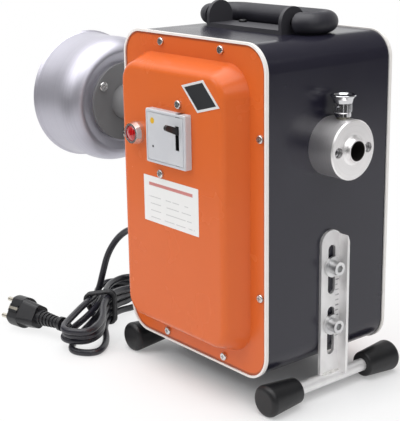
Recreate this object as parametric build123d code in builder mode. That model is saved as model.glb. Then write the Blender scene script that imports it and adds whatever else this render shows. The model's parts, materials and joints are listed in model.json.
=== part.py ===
"""Electric drain cleaning machine: every piece as its own solid, in millimetres.

Z is up from the floor, the front cover faces -Y and the spindle lies along X.
"""
import os
from math import asin, atan, cos, degrees, pi, radians, sin, sqrt

from build123d import *

# Fits, hexagons and the least bend of a route
fit_gap = 0.03
run_gap = 0.05
lift_gap = 0.1
hexagon_count = 6
straight = 1e-5

# Case and its covers
case_width = 200.0
case_height = 300.0
case_depth = 150.0
case_corner = 24.0
case_sheet = 1.5
lip_width = 14.0
cover_sheet = 1.5
panel_width = 165.4
panel_height = 265.0
panel_corner = 28.0
panel_depth = 25.0
panel_inset = 10.0
panel_shift = -2.6
panel_edge = 7.0
trim_proud = 1.2
trim_front = 0.9
trim_wrap = 0.6
screw_radius = 2.0
screw_head_radius = 3.9
screw_head = 2.4
screw_length = 9.0
screw_clearance = 0.15
flange_screw_x = 42.5
flange_screw_margin = 8.0
side_screw_margin = 6.8
side_screw_z = 71.2
louvre_count = 6
louvre_length = 90.0
louvre_width = 5.0
louvre_pitch = 14.0
louvre_centre = -70.0

# Feet
foot_outer_radius = 15.5
foot_inner_radius = 12.0
foot_length = 40.0
foot_wall = 4.0
foot_rim = 5.0
foot_lip = 2.0
foot_flat = 1.0
foot_reach = 81.0
foot_back_reach = 86.5
bar_radius = 6.0
bar_drop = 16.5
weld_depth = 1.5
bracket_gap = 0.2
bracket_sheet = 3.0
bracket_width = 26.0
bracket_shift = 1.5
bracket_leg = 12.8
bracket_top = 128.0
bracket_top_radius = 13.0
slot_width = 9.0
slot_length = 47.0
slot_heights = (90.5, 31.0)
bolt_heights = (93.5, 37.5)
bolt_radius = 4.0
bolt_head_radius = 6.2
bolt_head = 8.0
bolt_socket_radius = 3.6
bolt_socket_depth = 4.5
bolt_tail = 7.0
nut_radius = 7.4
nut_height = 6.5
washer_radius = 9.7
washer_thickness = 2.5

# Handle
handle_plate_width = 104.0
handle_plate_front = 14.5
handle_plate_back = 17.0
handle_sheet = 4.0
ear_radius = 14.5
ear_skin = 1.0
rod_radius = 4.0
grip_radius = 9.7
grip_clear = 0.4
grip_start_gap = 8.0
bail_overhang = 19.0
bail_reach = 36.0
bail_inner_bend = 10.5
bail_outer_bend = 20.0
handle_screw_x = 30.0
handle_screw_inset = 5.0

# Spindle, bearings and neck
spindle_height = 206.0
spindle_radius = 12.5
spindle_bore = 8.75
spindle_back_gap = 1.5
spindle_nose = 14.0
housing_radius = 33.0
housing_length = 26.0
housing_pocket = 14.0
housing_bore = 13.2
bearing_radius = 23.5
bearing_width = 12.0
ball_radius = 2.4
ball_count = 11
neck_radius = 17.0
neck_bore = 15.0
neck_length = 122.0
neck_flange_radius = 34.0
neck_flange = 6.0
neck_screw_circle = 26.5
neck_screw_count = 4
neck_screw_angle = 45.0
bush_length = 20.0
bush_inset = 1.0

# Bell, clutch and chuck
bell_reach = 187.0
bell_rear = 110.4
bell_rim_radius = 71.2
bell_radius = 69.3
bell_shoulder_radius = 68.6
bell_crest_radius = 53.5
bell_crest_set = 2.2
bell_sheet = 2.5
bell_waist_radius = 67.9
bell_rim_length = 3.0
bell_band = 30.0
bell_band_slope = 0.06
bell_shoulder_set = 27.4
bell_recess_radius = 45.0
bell_seat_radius = 31.5
disc_radius = 42.5
disc_thickness = 4.0
hub_radius = 19.5
hub_length = 26.4
bell_screw_circle = 35.5
bell_screw_count = 3
bell_screw_angle = -33.0
bell_screw_head_radius = 5.0
ring_flange_radius = 41.0
ring_flange = 5.0
ring_radius = 36.0
ring_length = 43.0
cone_slope = 0.2
chuck_radius = 22.0
chuck_gap = 2.5
chuck_length = 26.0
jaw_count = 3
jaw_angle = 90.0
jaw_width = 12.0
jaw_length = 10.0
jaw_set = 14.0
jaw_open = 10.0
jaw_reach = 26.6
jaw_play = 0.1
jaw_cone_gap = 0.4
return_spring_wire = 2.6
return_spring_radius = 19.2
return_spring_curls = 8

# Drive
motor_height = 78.0
motor_radius = 52.0
motor_left = 80.0
motor_right = 34.0
motor_edge = 8.0
motor_foot_length = 24.0
motor_foot_thickness = 8.0
motor_foot_reach = 64.0
motor_bolt_reach = 57.0
motor_foot_places = (-48.0, 2.0)
motor_bolt_radius = 3.0
motor_bolt_head_radius = 5.5
motor_bolt_head = 4.0
shaft_radius = 7.0
fan_radius = 44.0
fan_hub_radius = 14.0
fan_width = 7.0
fan_gap = 2.0
fan_blades = 8
blade_thickness = 2.4
pulley_place = 52.0
pulley_width = 16.0
belt_width = 9.0
belt_thickness = 6.0
belt_gap = 0.4
spindle_belt_radius = 56.0
motor_belt_radius = 22.4
pulley_rim = 1.0
pulley_web_inset = 4.0
pulley_hub_radius = 24.0
pulley_pocket_radius = 46.0
capacitor_radius = 18.0
capacitor_length = 76.0
capacitor_y = 46.0
capacitor_height = 160.0
clip_wall = 2.0
clip_length = 28.0
clip_flange_radius = 26.0
clip_gap = 0.2

# Hose coupling and its plunger
coupling_radius = 26.8
coupling_length = 28.5
collar_length = 5.0
collar_base_radius = 13.4
collar_waist_radius = 11.2
collar_waist = 1.8
collar_tip_radius = 10.2
coupling_bore = 8.7
coupling_edge = 1.2
coupling_screw_y = 18.3
counterbore_radius = 4.65
counterbore_depth = 9.0
cap_screw_radius = 2.5
cap_head_radius = 4.25
cap_head = 5.0
cap_socket_radius = 2.3
cap_socket_depth = 2.5
cap_screw_length = 28.0
plunger_place = 15.0
pin_radius = 3.0
pin_clear = 0.3
sleeve_radius = 6.0
sleeve_seat = 14.0
sleeve_proud = 4.4
sleeve_cap = 3.0
chamber_radius = 5.0
pin_collar_radius = 4.7
pin_collar = 2.0
knob_radius = 8.1
knob_lip_radius = 11.4
knob_neck_radius = 7.2
knob_height = 20.4
knob_foot = 1.4
knob_neck = 3.0
knob_shoulder = 1.2
knob_throat_radius = 9.2
knob_throat = 3.4
knob_flare = 2.9
knob_lip = 0.9
knob_edge = 0.4
knob_dish_radius = 8.8
knob_dish = 0.9
knob_lift = 0.4
knob_grooves = 28
knob_groove = 0.5
grub_radius = 1.9
grub_depth = 3.0
grub_turn = 15.0
pin_end_gap = 3.0
plunger_wire = 0.9
plunger_curls = 4

# Switch and lamp
switch_x = -2.5
switch_height = 209.5
plate_aside = 2.3
plate_rise = 1.9
plate_width = 57.8
plate_height = 49.5
plate_thickness = 7.0
plate_corner = 1.6
plate_bevel = 0.8
plate_groove_inset = 2.4
plate_groove = 0.7
lever_aside = 20.0
lever_rise = 4.9
lever_slot_width = 5.4
lever_slot_length = 22.0
lever_thickness = 3.6
lever_length = 28.0
lever_root = 3.6
lever_tip = 2.6
lever_tilt = 23.0
pivot_depth = 15.0
pivot_radius = 2.0
pivot_length = 16.0
well_width = 8.0
well_length = 25.0
well_depth = 14.0
switch_box_width = 60.0
switch_box_height = 40.0
switch_box_depth = 30.0
yoke_width = 44.0
yoke_height = 82.0
yoke_thickness = 2.0
switch_screw_x = 14.2
switch_screw_z = 33.8
lamp_x = -50.6
lamp_height = 209.3
bezel_radius = 10.7
bezel_front_radius = 9.4
bezel_height = 8.7
bezel_base = 3.6
lens_radius = 7.5
lens_dome = 1.4
lamp_thread_radius = 7.9
lamp_thread_bore = 6.0
lamp_thread_length = 14.0
lamp_nut_radius = 11.0
lamp_nut_height = 4.0

# Mains cord and plug, with points as chosen from the case's middle and the floor
cord_radius = 3.6
gland_y = -30.0
gland_height = 77.0
gland_flange_radius = 9.5
gland_flange = 4.0
gland_tip_radius = 5.6
gland_length = 30.0
gland_shank_radius = 7.0
gland_nut_radius = 10.5
gland_nut_height = 4.0
lead_straight = 14.0
lead_bend = (-194.0, -36.0, 88.0)
lead_bend_way = (-0.62, -0.3, -0.72)
lead_drop = (-218.0, -49.0, 48.0)
lead_drop_way = (-0.22, -0.18, -0.95)
hank_x = -181.0
hank_y = -60.0
hank_heading = -54.0
hank_tip = 84.0
hank_end_radius = 17.0
hank_waist = 6.0
hank_outer_waist = 14.2
hank_outer_end = 25.5
hank_start_along = -60.0
hank_start_out = -32.0
hank_layer = 8.0
hank_lift = 0.3
plug_x = -174.1
plug_y = -117.0
plug_heading = 192.0
plug_roll = 33.0
plug_radius = 16.8
plug_lift = 0.3
plug_collar_radius = 7.6
plug_collar = 4.0
plug_relief_length = 36.0
plug_relief_tip_radius = 5.2
plug_relief_base_radius = 7.6
plug_ribs = 6
plug_rib_depth = 1.0
plug_neck_width = 19.0
plug_neck_height = 24.0
plug_neck_corner = 6.0
plug_neck_length = 20.0
plug_front_length = 15.0
plug_flat = 13.0
plug_shoulder = 28.0
plug_pin_radius = 2.4
plug_pin_length = 19.0
plug_pin_spread = 9.5
plug_pin_tip = 1.0
earth_width = 8.0
earth_length = 13.0
earth_thickness = 1.0

# Places that follow from the sizes
bar_height = foot_outer_radius - foot_flat
case_bottom = bar_height + bar_drop
case_top = case_bottom + case_height
case_middle = case_bottom + case_height / 2
side = case_width / 2
half_depth = case_depth / 2
coupling_reach = coupling_length + collar_length
pivot_from_middle = half_depth + panel_depth + plate_thickness - pivot_depth
lever_x = switch_x + lever_aside
lever_front = pivot_from_middle + lever_length * cos(radians(lever_tilt)) + lever_tip
back_reach = half_depth + panel_depth
case_x = (bell_reach - coupling_reach) / 2
case_y = (lever_front - back_reach) / 2
spindle_z = case_bottom + spindle_height
motor_z = case_bottom + motor_height
panel_taper = degrees(atan(panel_inset / panel_depth))
right_wall = case_x + side
left_wall = case_x - side
bell_left = left_wall - bell_reach
bell_right = left_wall - bell_rear
bar_x = side + bracket_gap + bracket_sheet / 2
bolt_seat = side + bracket_gap + bracket_sheet + lift_gap
handle_pivot_z = case_top + grip_radius + grip_clear
socket_depth = handle_sheet - ear_skin
rod_end = handle_plate_width / 2 - socket_depth + run_gap
bail_half_width = handle_plate_width / 2 + bail_overhang
plunger_x = right_wall + plunger_place
spindle_left = left_wall - neck_length - spindle_nose
chuck_right = left_wall - neck_length - chuck_gap
jaw_right = chuck_right - jaw_set
clutch_right = bell_right - disc_thickness - bell_sheet
belt_span = spindle_height - motor_height

spindle_axis = Axis((case_x, case_y, spindle_z), (1, 0, 0))
spindle_plane = Plane(origin=(0, case_y, spindle_z), x_dir=(1, 0, 0), z_dir=(0, -1, 0))
os.makedirs("parts", exist_ok=True)


def save(solid, name):
    """Label a finished piece and write its file."""
    solid.label = name
    export_step(solid, f"parts/{name}.step")


def front_plane(reach):
    """Plane that faces the front, at this reach from the case's middle."""
    return Plane(origin=(case_x, case_y - reach, case_middle), x_dir=(1, 0, 0), z_dir=(0, -1, 0))


def back_plane(reach):
    """Plane that faces the back, at this reach from the case's middle."""
    return Plane(origin=(case_x, case_y + reach, case_middle), x_dir=(-1, 0, 0), z_dir=(0, 1, 0))


def across(x, y=0.0, z=spindle_z):
    """Plane square to X, with its normal along +X and its own x along +Y."""
    return Plane(origin=(x, case_y + y, z), x_dir=(0, 1, 0), z_dir=(1, 0, 0))


def level(z, x=case_x, y=case_y):
    """Level plane at this height."""
    return Plane(origin=(x, y, z))


def ring(x, length, outer, inner, y=0.0, z=spindle_z):
    """Plain tube along X from x towards +X."""
    with BuildPart() as tube:
        with BuildSketch(across(x, y, z)):
            Circle(outer)
            Circle(inner, mode=Mode.SUBTRACT)
        extrude(amount=length)
    return tube.part


def on_circle(radius, count, angle):
    """Places spaced evenly on a circle, from this angle on."""
    turns = [radians(angle + 360 * i / count) for i in range(count)]
    return [(radius * cos(turn), radius * sin(turn)) for turn in turns]


def turned(points, plane, axis):
    """Solid of revolution from a closed outline of points."""
    with BuildPart() as body:
        with BuildSketch(plane):
            with BuildLine():
                Polyline(*points, close=True)
            make_face()
        revolve(axis=axis)
    return body.part


flange_places = [(sx * flange_screw_x, sz * (case_height / 2 - flange_screw_margin))
                 for sx in (-1, 1) for sz in (-1, 1)]
flange_places += [(sx * (side - side_screw_margin), sz * side_screw_z)
                  for sx in (-1, 1) for sz in (-1, 1)]
switch_centre = (switch_x, switch_height - case_height / 2)
plate_centre = (switch_x + plate_aside, switch_centre[1] + plate_rise)
lever_centre = (lever_x, switch_centre[1] + lever_rise)
lamp_centre = (lamp_x, lamp_height - case_height / 2)
switch_screw_places = [(switch_x + s * switch_screw_x, switch_centre[1] + s * switch_screw_z)
                       for s in (-1, 1)]
handle_screw_places = [(sx * handle_screw_x, handle_plate_back - handle_screw_inset) for sx in (-1, 1)]
motor_bolt_places = [(x, sy * motor_bolt_reach) for x in motor_foot_places for sy in (-1, 1)]
bracket_bolt_places = [(bracket_shift, z) for z in bolt_heights]

# Case shell with inward lips for the cover screws
with BuildPart() as case_shell:
    with BuildSketch(front_plane(-half_depth)):
        RectangleRounded(case_width, case_height, case_corner)
        RectangleRounded(case_width - 2 * case_sheet, case_height - 2 * case_sheet,
                         case_corner - case_sheet, mode=Mode.SUBTRACT)
    extrude(amount=case_depth)
    for lip_plane in (front_plane(half_depth), back_plane(half_depth)):
        with BuildSketch(lip_plane):
            RectangleRounded(case_width, case_height, case_corner)
            RectangleRounded(case_width - 2 * lip_width, case_height - 2 * lip_width,
                             case_corner - lip_width / 2, mode=Mode.SUBTRACT)
        extrude(amount=-case_sheet)
        with BuildSketch(lip_plane):
            with Locations(*flange_places):
                Circle(screw_radius + screw_clearance)
        extrude(amount=-case_sheet, mode=Mode.SUBTRACT)
    with BuildSketch(across(right_wall)):
        Circle(housing_bore)
        with Locations((-coupling_screw_y, 0), (coupling_screw_y, 0)):
            Circle(cap_screw_radius + screw_clearance)
    extrude(amount=-case_sheet, mode=Mode.SUBTRACT)
    with BuildSketch(across(left_wall)):
        Circle(neck_bore)
        with PolarLocations(neck_screw_circle, neck_screw_count, start_angle=neck_screw_angle):
            Circle(screw_radius + screw_clearance)
    extrude(amount=case_sheet, mode=Mode.SUBTRACT)
    with BuildSketch(across(left_wall, gland_y, case_bottom + gland_height)):
        Circle(gland_shank_radius + screw_clearance)
    extrude(amount=case_sheet, mode=Mode.SUBTRACT)
    for wall, turn in ((right_wall - case_sheet, 1), (left_wall, -1)):
        with BuildSketch(across(wall, 0, case_bottom)):
            with Locations(*[(turn * y, z) for y, z in bracket_bolt_places]):
                Circle(bolt_radius + screw_clearance)
        extrude(amount=case_sheet, mode=Mode.SUBTRACT)
    with BuildSketch(level(case_top)):
        with Locations(*handle_screw_places):
            Circle(screw_radius + screw_clearance)
    extrude(amount=-case_sheet, mode=Mode.SUBTRACT)
    with BuildSketch(level(case_bottom)):
        with Locations(*motor_bolt_places):
            Circle(motor_bolt_radius + screw_clearance)
    extrude(amount=case_sheet, mode=Mode.SUBTRACT)
save(case_shell.part, "case_shell")


def panel_block(plane, shrink, depth, edge):
    """Tapered block with rounded edges, for the panel's outside or its hollow."""
    with BuildPart() as block:
        with BuildSketch(plane):
            with Locations((panel_shift, 0)):
                RectangleRounded(panel_width - 2 * shrink, panel_height - 2 * shrink, panel_corner - shrink)
        extrude(amount=depth, taper=panel_taper)
        fillet(block.faces().sort_by(Axis(plane.origin, plane.z_dir))[-1].edges(), edge)
    return block.part


def pressed_cover(plane):
    """Cover pressed from one sheet: a flange round a raised panel."""
    outside = panel_block(plane, 0.0, panel_depth, panel_edge)
    hollow = panel_block(plane, cover_sheet, panel_depth - cover_sheet, panel_edge - cover_sheet)
    with BuildPart() as cover:
        with BuildSketch(plane):
            RectangleRounded(case_width, case_height, case_corner)
        extrude(amount=cover_sheet)
        add(outside)
        add(hollow, mode=Mode.SUBTRACT)
        with BuildSketch(plane):
            with Locations(*flange_places):
                Circle(screw_radius + screw_clearance)
        extrude(amount=cover_sheet, mode=Mode.SUBTRACT)
    return cover.part


# Front cover with the openings for switch and lamp
front_face = front_plane(half_depth + panel_depth)
with BuildPart() as front_cover:
    add(pressed_cover(front_plane(half_depth)))
    with BuildSketch(front_face):
        with Locations(lever_centre):
            Rectangle(well_width, well_length)
        with Locations(lamp_centre):
            Circle(lamp_thread_radius + screw_clearance)
        with Locations(*switch_screw_places):
            Circle(screw_radius + screw_clearance)
    extrude(amount=-cover_sheet, mode=Mode.SUBTRACT)
save(front_cover.part, "front_cover")

# Back cover with cooling slots
with BuildPart() as back_cover:
    add(pressed_cover(back_plane(half_depth)))
    with BuildSketch(back_plane(back_reach)):
        with Locations((0, louvre_centre)):
            with GridLocations(0, louvre_pitch, 1, louvre_count):
                SlotOverall(louvre_length, louvre_width)
    extrude(amount=-cover_sheet, mode=Mode.SUBTRACT)
save(back_cover.part, "back_cover")


def edge_trim(plane):
    """Edging strip that wraps the case edge and the edge of the cover."""
    with BuildPart() as strip:
        with BuildSketch(plane.offset(-trim_wrap)):
            RectangleRounded(case_width + 2 * trim_proud, case_height + 2 * trim_proud,
                             case_corner + trim_proud)
            RectangleRounded(case_width, case_height, case_corner, mode=Mode.SUBTRACT)
        extrude(amount=trim_wrap + cover_sheet)
        with BuildSketch(plane.offset(cover_sheet)):
            RectangleRounded(case_width + 2 * trim_proud, case_height + 2 * trim_proud,
                             case_corner + trim_proud)
            RectangleRounded(case_width - 2 * trim_front, case_height - 2 * trim_front,
                             case_corner - trim_front, mode=Mode.SUBTRACT)
        extrude(amount=trim_proud)
    return strip.part


save(edge_trim(front_plane(half_depth)), "front_trim")
save(edge_trim(back_plane(half_depth)), "back_trim")


def pan_screws(plane, places, length=screw_length, head_radius=screw_head_radius):
    """Group of pan-head screws whose heads sit on the plane."""
    with BuildPart() as group:
        with BuildSketch(plane):
            with Locations(*places):
                Circle(head_radius)
        extrude(amount=screw_head)
        fillet(group.faces().filter_by(Plane(plane.origin, z_dir=plane.z_dir)).sort_by(
            Axis(plane.origin, plane.z_dir))[-len(places):].edges(), screw_head / 2)
        with BuildSketch(plane):
            with Locations(*places):
                Circle(screw_radius)
        extrude(amount=-length)
        with BuildSketch(plane.offset(screw_head)):
            with Locations(*places):
                Rectangle(head_radius, screw_head / 3)
                Rectangle(screw_head / 3, head_radius)
        extrude(amount=-screw_head / 2, mode=Mode.SUBTRACT)
    return group.part


with BuildPart() as front_cover_screws:
    add(pan_screws(front_plane(half_depth + cover_sheet), flange_places))
    add(pan_screws(front_face, switch_screw_places))
save(front_cover_screws.part, "front_cover_screws")
save(pan_screws(back_plane(half_depth + cover_sheet), flange_places), "back_cover_screws")

# Switch plate on the panel
with BuildPart() as switch_plate:
    with BuildSketch(front_face):
        with Locations(plate_centre):
            RectangleRounded(plate_width, plate_height, plate_corner)
    extrude(amount=plate_thickness)
    chamfer(switch_plate.faces().sort_by(Axis(front_face.origin, front_face.z_dir))[-1].edges(), plate_bevel)
    with BuildSketch(front_face.offset(plate_thickness)):
        with Locations(plate_centre):
            Rectangle(plate_width - 2 * plate_groove_inset, plate_height - 2 * plate_groove_inset)
            Rectangle(plate_width - 2 * plate_groove_inset - 2 * plate_groove,
                      plate_height - 2 * plate_groove_inset - 2 * plate_groove, mode=Mode.SUBTRACT)
    extrude(amount=-plate_groove, mode=Mode.SUBTRACT)
    with BuildSketch(front_face):
        with Locations(lever_centre):
            Rectangle(lever_slot_width, lever_slot_length)
    extrude(amount=plate_thickness, mode=Mode.SUBTRACT)
save(switch_plate.part, "switch_plate")

# Switch body behind the panel, with the well that the lever swings in
panel_back = front_plane(half_depth + panel_depth - cover_sheet)
pivot_y = -pivot_from_middle
pivot_z = case_bottom + switch_height + lever_rise
with BuildPart() as switch_body:
    with BuildSketch(panel_back):
        with Locations(switch_centre):
            Rectangle(yoke_width, yoke_height)
    extrude(amount=-yoke_thickness)
    with BuildSketch(panel_back):
        with Locations(switch_centre):
            Rectangle(switch_box_width, switch_box_height)
    extrude(amount=-switch_box_depth)
    with BuildSketch(panel_back):
        with Locations(lever_centre):
            Rectangle(well_width, well_length)
    extrude(amount=-well_depth, mode=Mode.SUBTRACT)
    with BuildSketch(across(case_x + lever_x - pivot_length / 2 - run_gap, pivot_y, pivot_z)):
        Circle(pivot_radius + run_gap)
    extrude(amount=pivot_length + 2 * run_gap, mode=Mode.SUBTRACT)
    with BuildSketch(panel_back):
        with Locations(*switch_screw_places):
            Circle(screw_radius + screw_clearance)
    extrude(amount=-yoke_thickness, mode=Mode.SUBTRACT)
save(switch_body.part, "switch_body")

# Switch lever, tilted up at rest
tip_y = -lever_length * cos(radians(lever_tilt))
tip_z = lever_length * sin(radians(lever_tilt))
with BuildPart() as switch_lever:
    with BuildSketch(across(case_x + lever_x - lever_thickness / 2, pivot_y, pivot_z)):
        Circle(lever_root)
        with Locations((tip_y, tip_z)):
            Circle(lever_tip)
        make_hull()
    extrude(amount=lever_thickness)
    with BuildSketch(across(case_x + lever_x - pivot_length / 2, pivot_y, pivot_z)):
        Circle(pivot_radius)
    extrude(amount=pivot_length)
save(switch_lever.part, "switch_lever")

# Pilot lamp: bezel with its clamping ring behind the panel, and lens
lamp_axis = Axis((case_x + lamp_x, case_y, case_bottom + lamp_height), (0, 1, 0))
lamp_plane = Plane(origin=(case_x + lamp_x, case_y - half_depth - panel_depth, case_bottom + lamp_height),
                   x_dir=(1, 0, 0), z_dir=(0, 0, 1))
lamp_nut_back = cover_sheet + lamp_nut_height
bezel_outline = [(lamp_thread_bore, lamp_thread_length), (lamp_thread_radius, lamp_thread_length),
                 (lamp_thread_radius, lamp_nut_back), (lamp_nut_radius, lamp_nut_back),
                 (lamp_nut_radius, cover_sheet), (lamp_thread_radius, cover_sheet), (lamp_thread_radius, 0),
                 (bezel_radius, 0), (bezel_radius, -bezel_base), (bezel_front_radius, -bezel_height),
                 (lens_radius + fit_gap, -bezel_height), (lens_radius + fit_gap, 0), (lamp_thread_bore, 0)]
save(turned(bezel_outline, lamp_plane, lamp_axis), "lamp_bezel")
dome_top = -bezel_height - lens_dome
dome_radius = (lens_radius ** 2 + (2 * lens_dome) ** 2) / (4 * lens_dome)
dome_half = asin(lens_radius / dome_radius) / 2
with BuildPart() as lamp_lens:
    with BuildSketch(lamp_plane):
        with BuildLine():
            Line((0, 0), (lens_radius, 0))
            Line((lens_radius, 0), (lens_radius, -bezel_height + lens_dome))
            ThreePointArc((lens_radius, -bezel_height + lens_dome),
                          (dome_radius * sin(dome_half), dome_top + dome_radius * (1 - cos(dome_half))),
                          (0, dome_top))
            Line((0, dome_top), (0, 0))
        make_face()
    revolve(axis=lamp_axis)
save(lamp_lens.part, "lamp_lens")

# Hose coupling
plunger_plane = level(spindle_z, plunger_x, case_y)
coupling_outline = [(right_wall, coupling_bore), (right_wall, coupling_radius),
                    (right_wall + coupling_length - coupling_edge, coupling_radius),
                    (right_wall + coupling_length, coupling_radius - coupling_edge),
                    (right_wall + coupling_length, collar_base_radius),
                    (right_wall + coupling_length + collar_waist, collar_waist_radius),
                    (right_wall + coupling_reach, collar_tip_radius),
                    (right_wall + coupling_reach, coupling_bore)]
with BuildPart() as hose_coupling:
    add(turned(coupling_outline, spindle_plane, spindle_axis))
    with BuildSketch(across(right_wall)):
        with Locations((-coupling_screw_y, 0), (coupling_screw_y, 0)):
            Circle(cap_screw_radius + screw_clearance)
    extrude(amount=coupling_length, mode=Mode.SUBTRACT)
    with BuildSketch(across(right_wall + coupling_length)):
        with Locations((-coupling_screw_y, 0), (coupling_screw_y, 0)):
            Circle(counterbore_radius)
    extrude(amount=-counterbore_depth, mode=Mode.SUBTRACT)
    with BuildSketch(plunger_plane):
        Circle(pin_radius + run_gap)
    extrude(amount=coupling_radius, mode=Mode.SUBTRACT)
    with BuildSketch(plunger_plane.offset(sleeve_seat)):
        Circle(sleeve_radius + fit_gap)
    extrude(amount=coupling_radius, mode=Mode.SUBTRACT)
save(hose_coupling.part, "hose_coupling")

# Cap screws that hold the coupling to the bearing housing
screw_seat = right_wall + coupling_length - counterbore_depth
with BuildPart() as coupling_screws:
    with BuildSketch(across(screw_seat)):
        with Locations((-coupling_screw_y, 0), (coupling_screw_y, 0)):
            Circle(cap_head_radius)
    extrude(amount=cap_head)
    with BuildSketch(across(screw_seat)):
        with Locations((-coupling_screw_y, 0), (coupling_screw_y, 0)):
            Circle(cap_screw_radius)
    extrude(amount=-cap_screw_length)
    with BuildSketch(across(screw_seat + cap_head)):
        with Locations((-coupling_screw_y, 0), (coupling_screw_y, 0)):
            RegularPolygon(cap_socket_radius, hexagon_count)
    extrude(amount=-cap_socket_depth, mode=Mode.SUBTRACT)
save(coupling_screws.part, "coupling_screws")

# Plunger: sleeve, pin and knob
plunger_axis = Axis((plunger_x, case_y, spindle_z), (0, 0, 1))
plunger_side = Plane(origin=(plunger_x, case_y, spindle_z), x_dir=(1, 0, 0), z_dir=(0, -1, 0))
grub_angle = radians(grub_turn)
grub_side = Plane(origin=plunger_side.origin, x_dir=(cos(grub_angle), sin(grub_angle), 0),
                  z_dir=(sin(grub_angle), -cos(grub_angle), 0))
sleeve_top = coupling_radius + sleeve_proud
chamber_top = sleeve_top - sleeve_cap
collar_bottom = sleeve_seat + lift_gap
knob_bottom = coupling_radius + knob_foot
knob_roof = sleeve_top + knob_lift
knob_top = coupling_radius + knob_height
groove_bottom = knob_bottom + knob_neck + knob_shoulder
flare_bottom = knob_top - knob_lip - knob_flare
groove_top = flare_bottom - knob_throat
pin_top = knob_top - pin_end_gap
save(turned([(chamber_radius, sleeve_seat), (sleeve_radius, sleeve_seat), (sleeve_radius, sleeve_top),
             (pin_radius + run_gap, sleeve_top), (pin_radius + run_gap, chamber_top),
             (chamber_radius, chamber_top)], plunger_side, plunger_axis), "plunger_sleeve")
pin_tip = coupling_bore + pin_clear
collar_top = collar_bottom + pin_collar
save(turned([(0, pin_tip), (pin_radius, pin_tip), (pin_radius, collar_bottom),
             (pin_collar_radius, collar_bottom), (pin_collar_radius, collar_top), (pin_radius, collar_top),
             (pin_radius, pin_top), (0, pin_top)], plunger_side, plunger_axis), "plunger_pin")
with BuildPart() as plunger_knob:
    add(turned([(sleeve_radius + run_gap, knob_bottom), (knob_neck_radius, knob_bottom),
                (knob_neck_radius, knob_bottom + knob_neck), (knob_radius, groove_bottom),
                (knob_radius, groove_top), (knob_throat_radius, flare_bottom),
                (knob_lip_radius, knob_top - knob_lip),
                (knob_lip_radius, knob_top - knob_edge), (knob_lip_radius - knob_edge, knob_top),
                (knob_dish_radius, knob_top), (knob_dish_radius - knob_dish, knob_top - knob_dish),
                (0, knob_top - knob_dish), (0, pin_top), (pin_radius + fit_gap, pin_top),
                (pin_radius + fit_gap, knob_roof), (sleeve_radius + run_gap, knob_roof)],
               plunger_side, plunger_axis))
    with BuildSketch(plunger_plane.offset(groove_bottom)):
        with PolarLocations(knob_radius, knob_grooves):
            Circle(knob_groove)
    extrude(amount=groove_top - groove_bottom, mode=Mode.SUBTRACT)
    with BuildSketch(grub_side.offset(knob_radius - grub_depth)):
        with Locations((0, (groove_bottom + groove_top) / 2)):
            Circle(grub_radius)
    extrude(amount=2 * grub_depth, mode=Mode.SUBTRACT)
save(plunger_knob.part, "plunger_knob")


def middle_of(start, start_way, end, end_way):
    """Joint of the two arcs that run from one point and direction to another."""
    chord = end - start
    both = start_way + end_way
    bend = 2 * (1 - start_way.dot(end_way))
    along = chord.dot(both)
    if bend < straight ** 2:
        reach = chord.length ** 2 / (2 * along)
    else:
        reach = (sqrt(along ** 2 + bend * chord.length ** 2) - along) / bend
    first = start + start_way * reach
    second = end - end_way * reach
    return (first + second) * 0.5, (second - first).normalized()


def wound_tube(name, stations, radius):
    """Round tube along pairs of arcs through points that each have a direction."""
    pieces = []
    with BuildPart() as tube:
        with BuildLine() as route:
            for (start, way), (end, end_way) in zip(stations, stations[1:]):
                joint, joint_way = middle_of(start, way, end, end_way)
                for p, q, heading in ((start, joint, way), (joint, end, joint_way)):
                    if heading.cross((q - p).normalized()).length < straight:
                        pieces.append(Line(p, q))
                    else:
                        pieces.append(TangentArc(p, q, tangent=heading))
        with BuildSketch(Plane(origin=stations[0][0], z_dir=stations[0][1])):
            Circle(radius)
        sweep(path=route.line)
    report_tube(name, tube.part, pieces, radius)
    return tube.part


def report_tube(name, tube, pieces, radius):
    """Print the least gap of a wound tube to itself, measured on points along it."""
    length = sum(piece.length for piece in pieces)
    places = []
    run = 0.0
    for piece in pieces:
        count = int(piece.length / radius) + 1
        places += [(run + piece.length * i / count, piece @ (i / count)) for i in range(count)]
        run += piece.length
    least = min([(p - q).length for a, p in places for b, q in places if b - a > 3 * pi * radius],
                default=length)
    least -= 2 * radius
    bends = [piece.radius for piece in pieces if piece.geom_type == GeomType.CIRCLE]
    tightest = min(bends, default=0.0)
    share = tube.volume / (pi * radius ** 2 * length)
    print(f"{name}: length {length:.0f}, least gap {least:.2f}, tightest {tightest:.1f}, share {share:.3f}")


def spring_stations(origin, axis_way, side_way, radius, height, curls):
    """Points and directions of a coil, four to a turn."""
    other = axis_way.cross(side_way)
    rise = height / (4 * curls)
    slope = rise / (radius * pi / 2)
    stations = []
    for i in range(4 * curls + 1):
        turn = i * pi / 2
        out = side_way * cos(turn) + other * sin(turn)
        tangent = other * cos(turn) - side_way * sin(turn) + axis_way * slope
        stations.append((origin + axis_way * (i * rise) + out * radius, tangent.normalized()))
    return stations


# Plunger spring between the pin's collar and the sleeve's cap
spring_low = collar_top + plunger_wire
spring_high = chamber_top - plunger_wire
spring_foot = Vector(plunger_x, case_y, spindle_z + spring_low)
plunger_coil_radius = (pin_radius + chamber_radius) / 2
plunger_coil = spring_stations(spring_foot, Vector(0, 0, 1), Vector(1, 0, 0), plunger_coil_radius,
                               spring_high - spring_low, plunger_curls)
save(wound_tube("plunger spring", plunger_coil, plunger_wire / 2), "plunger_spring")

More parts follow.
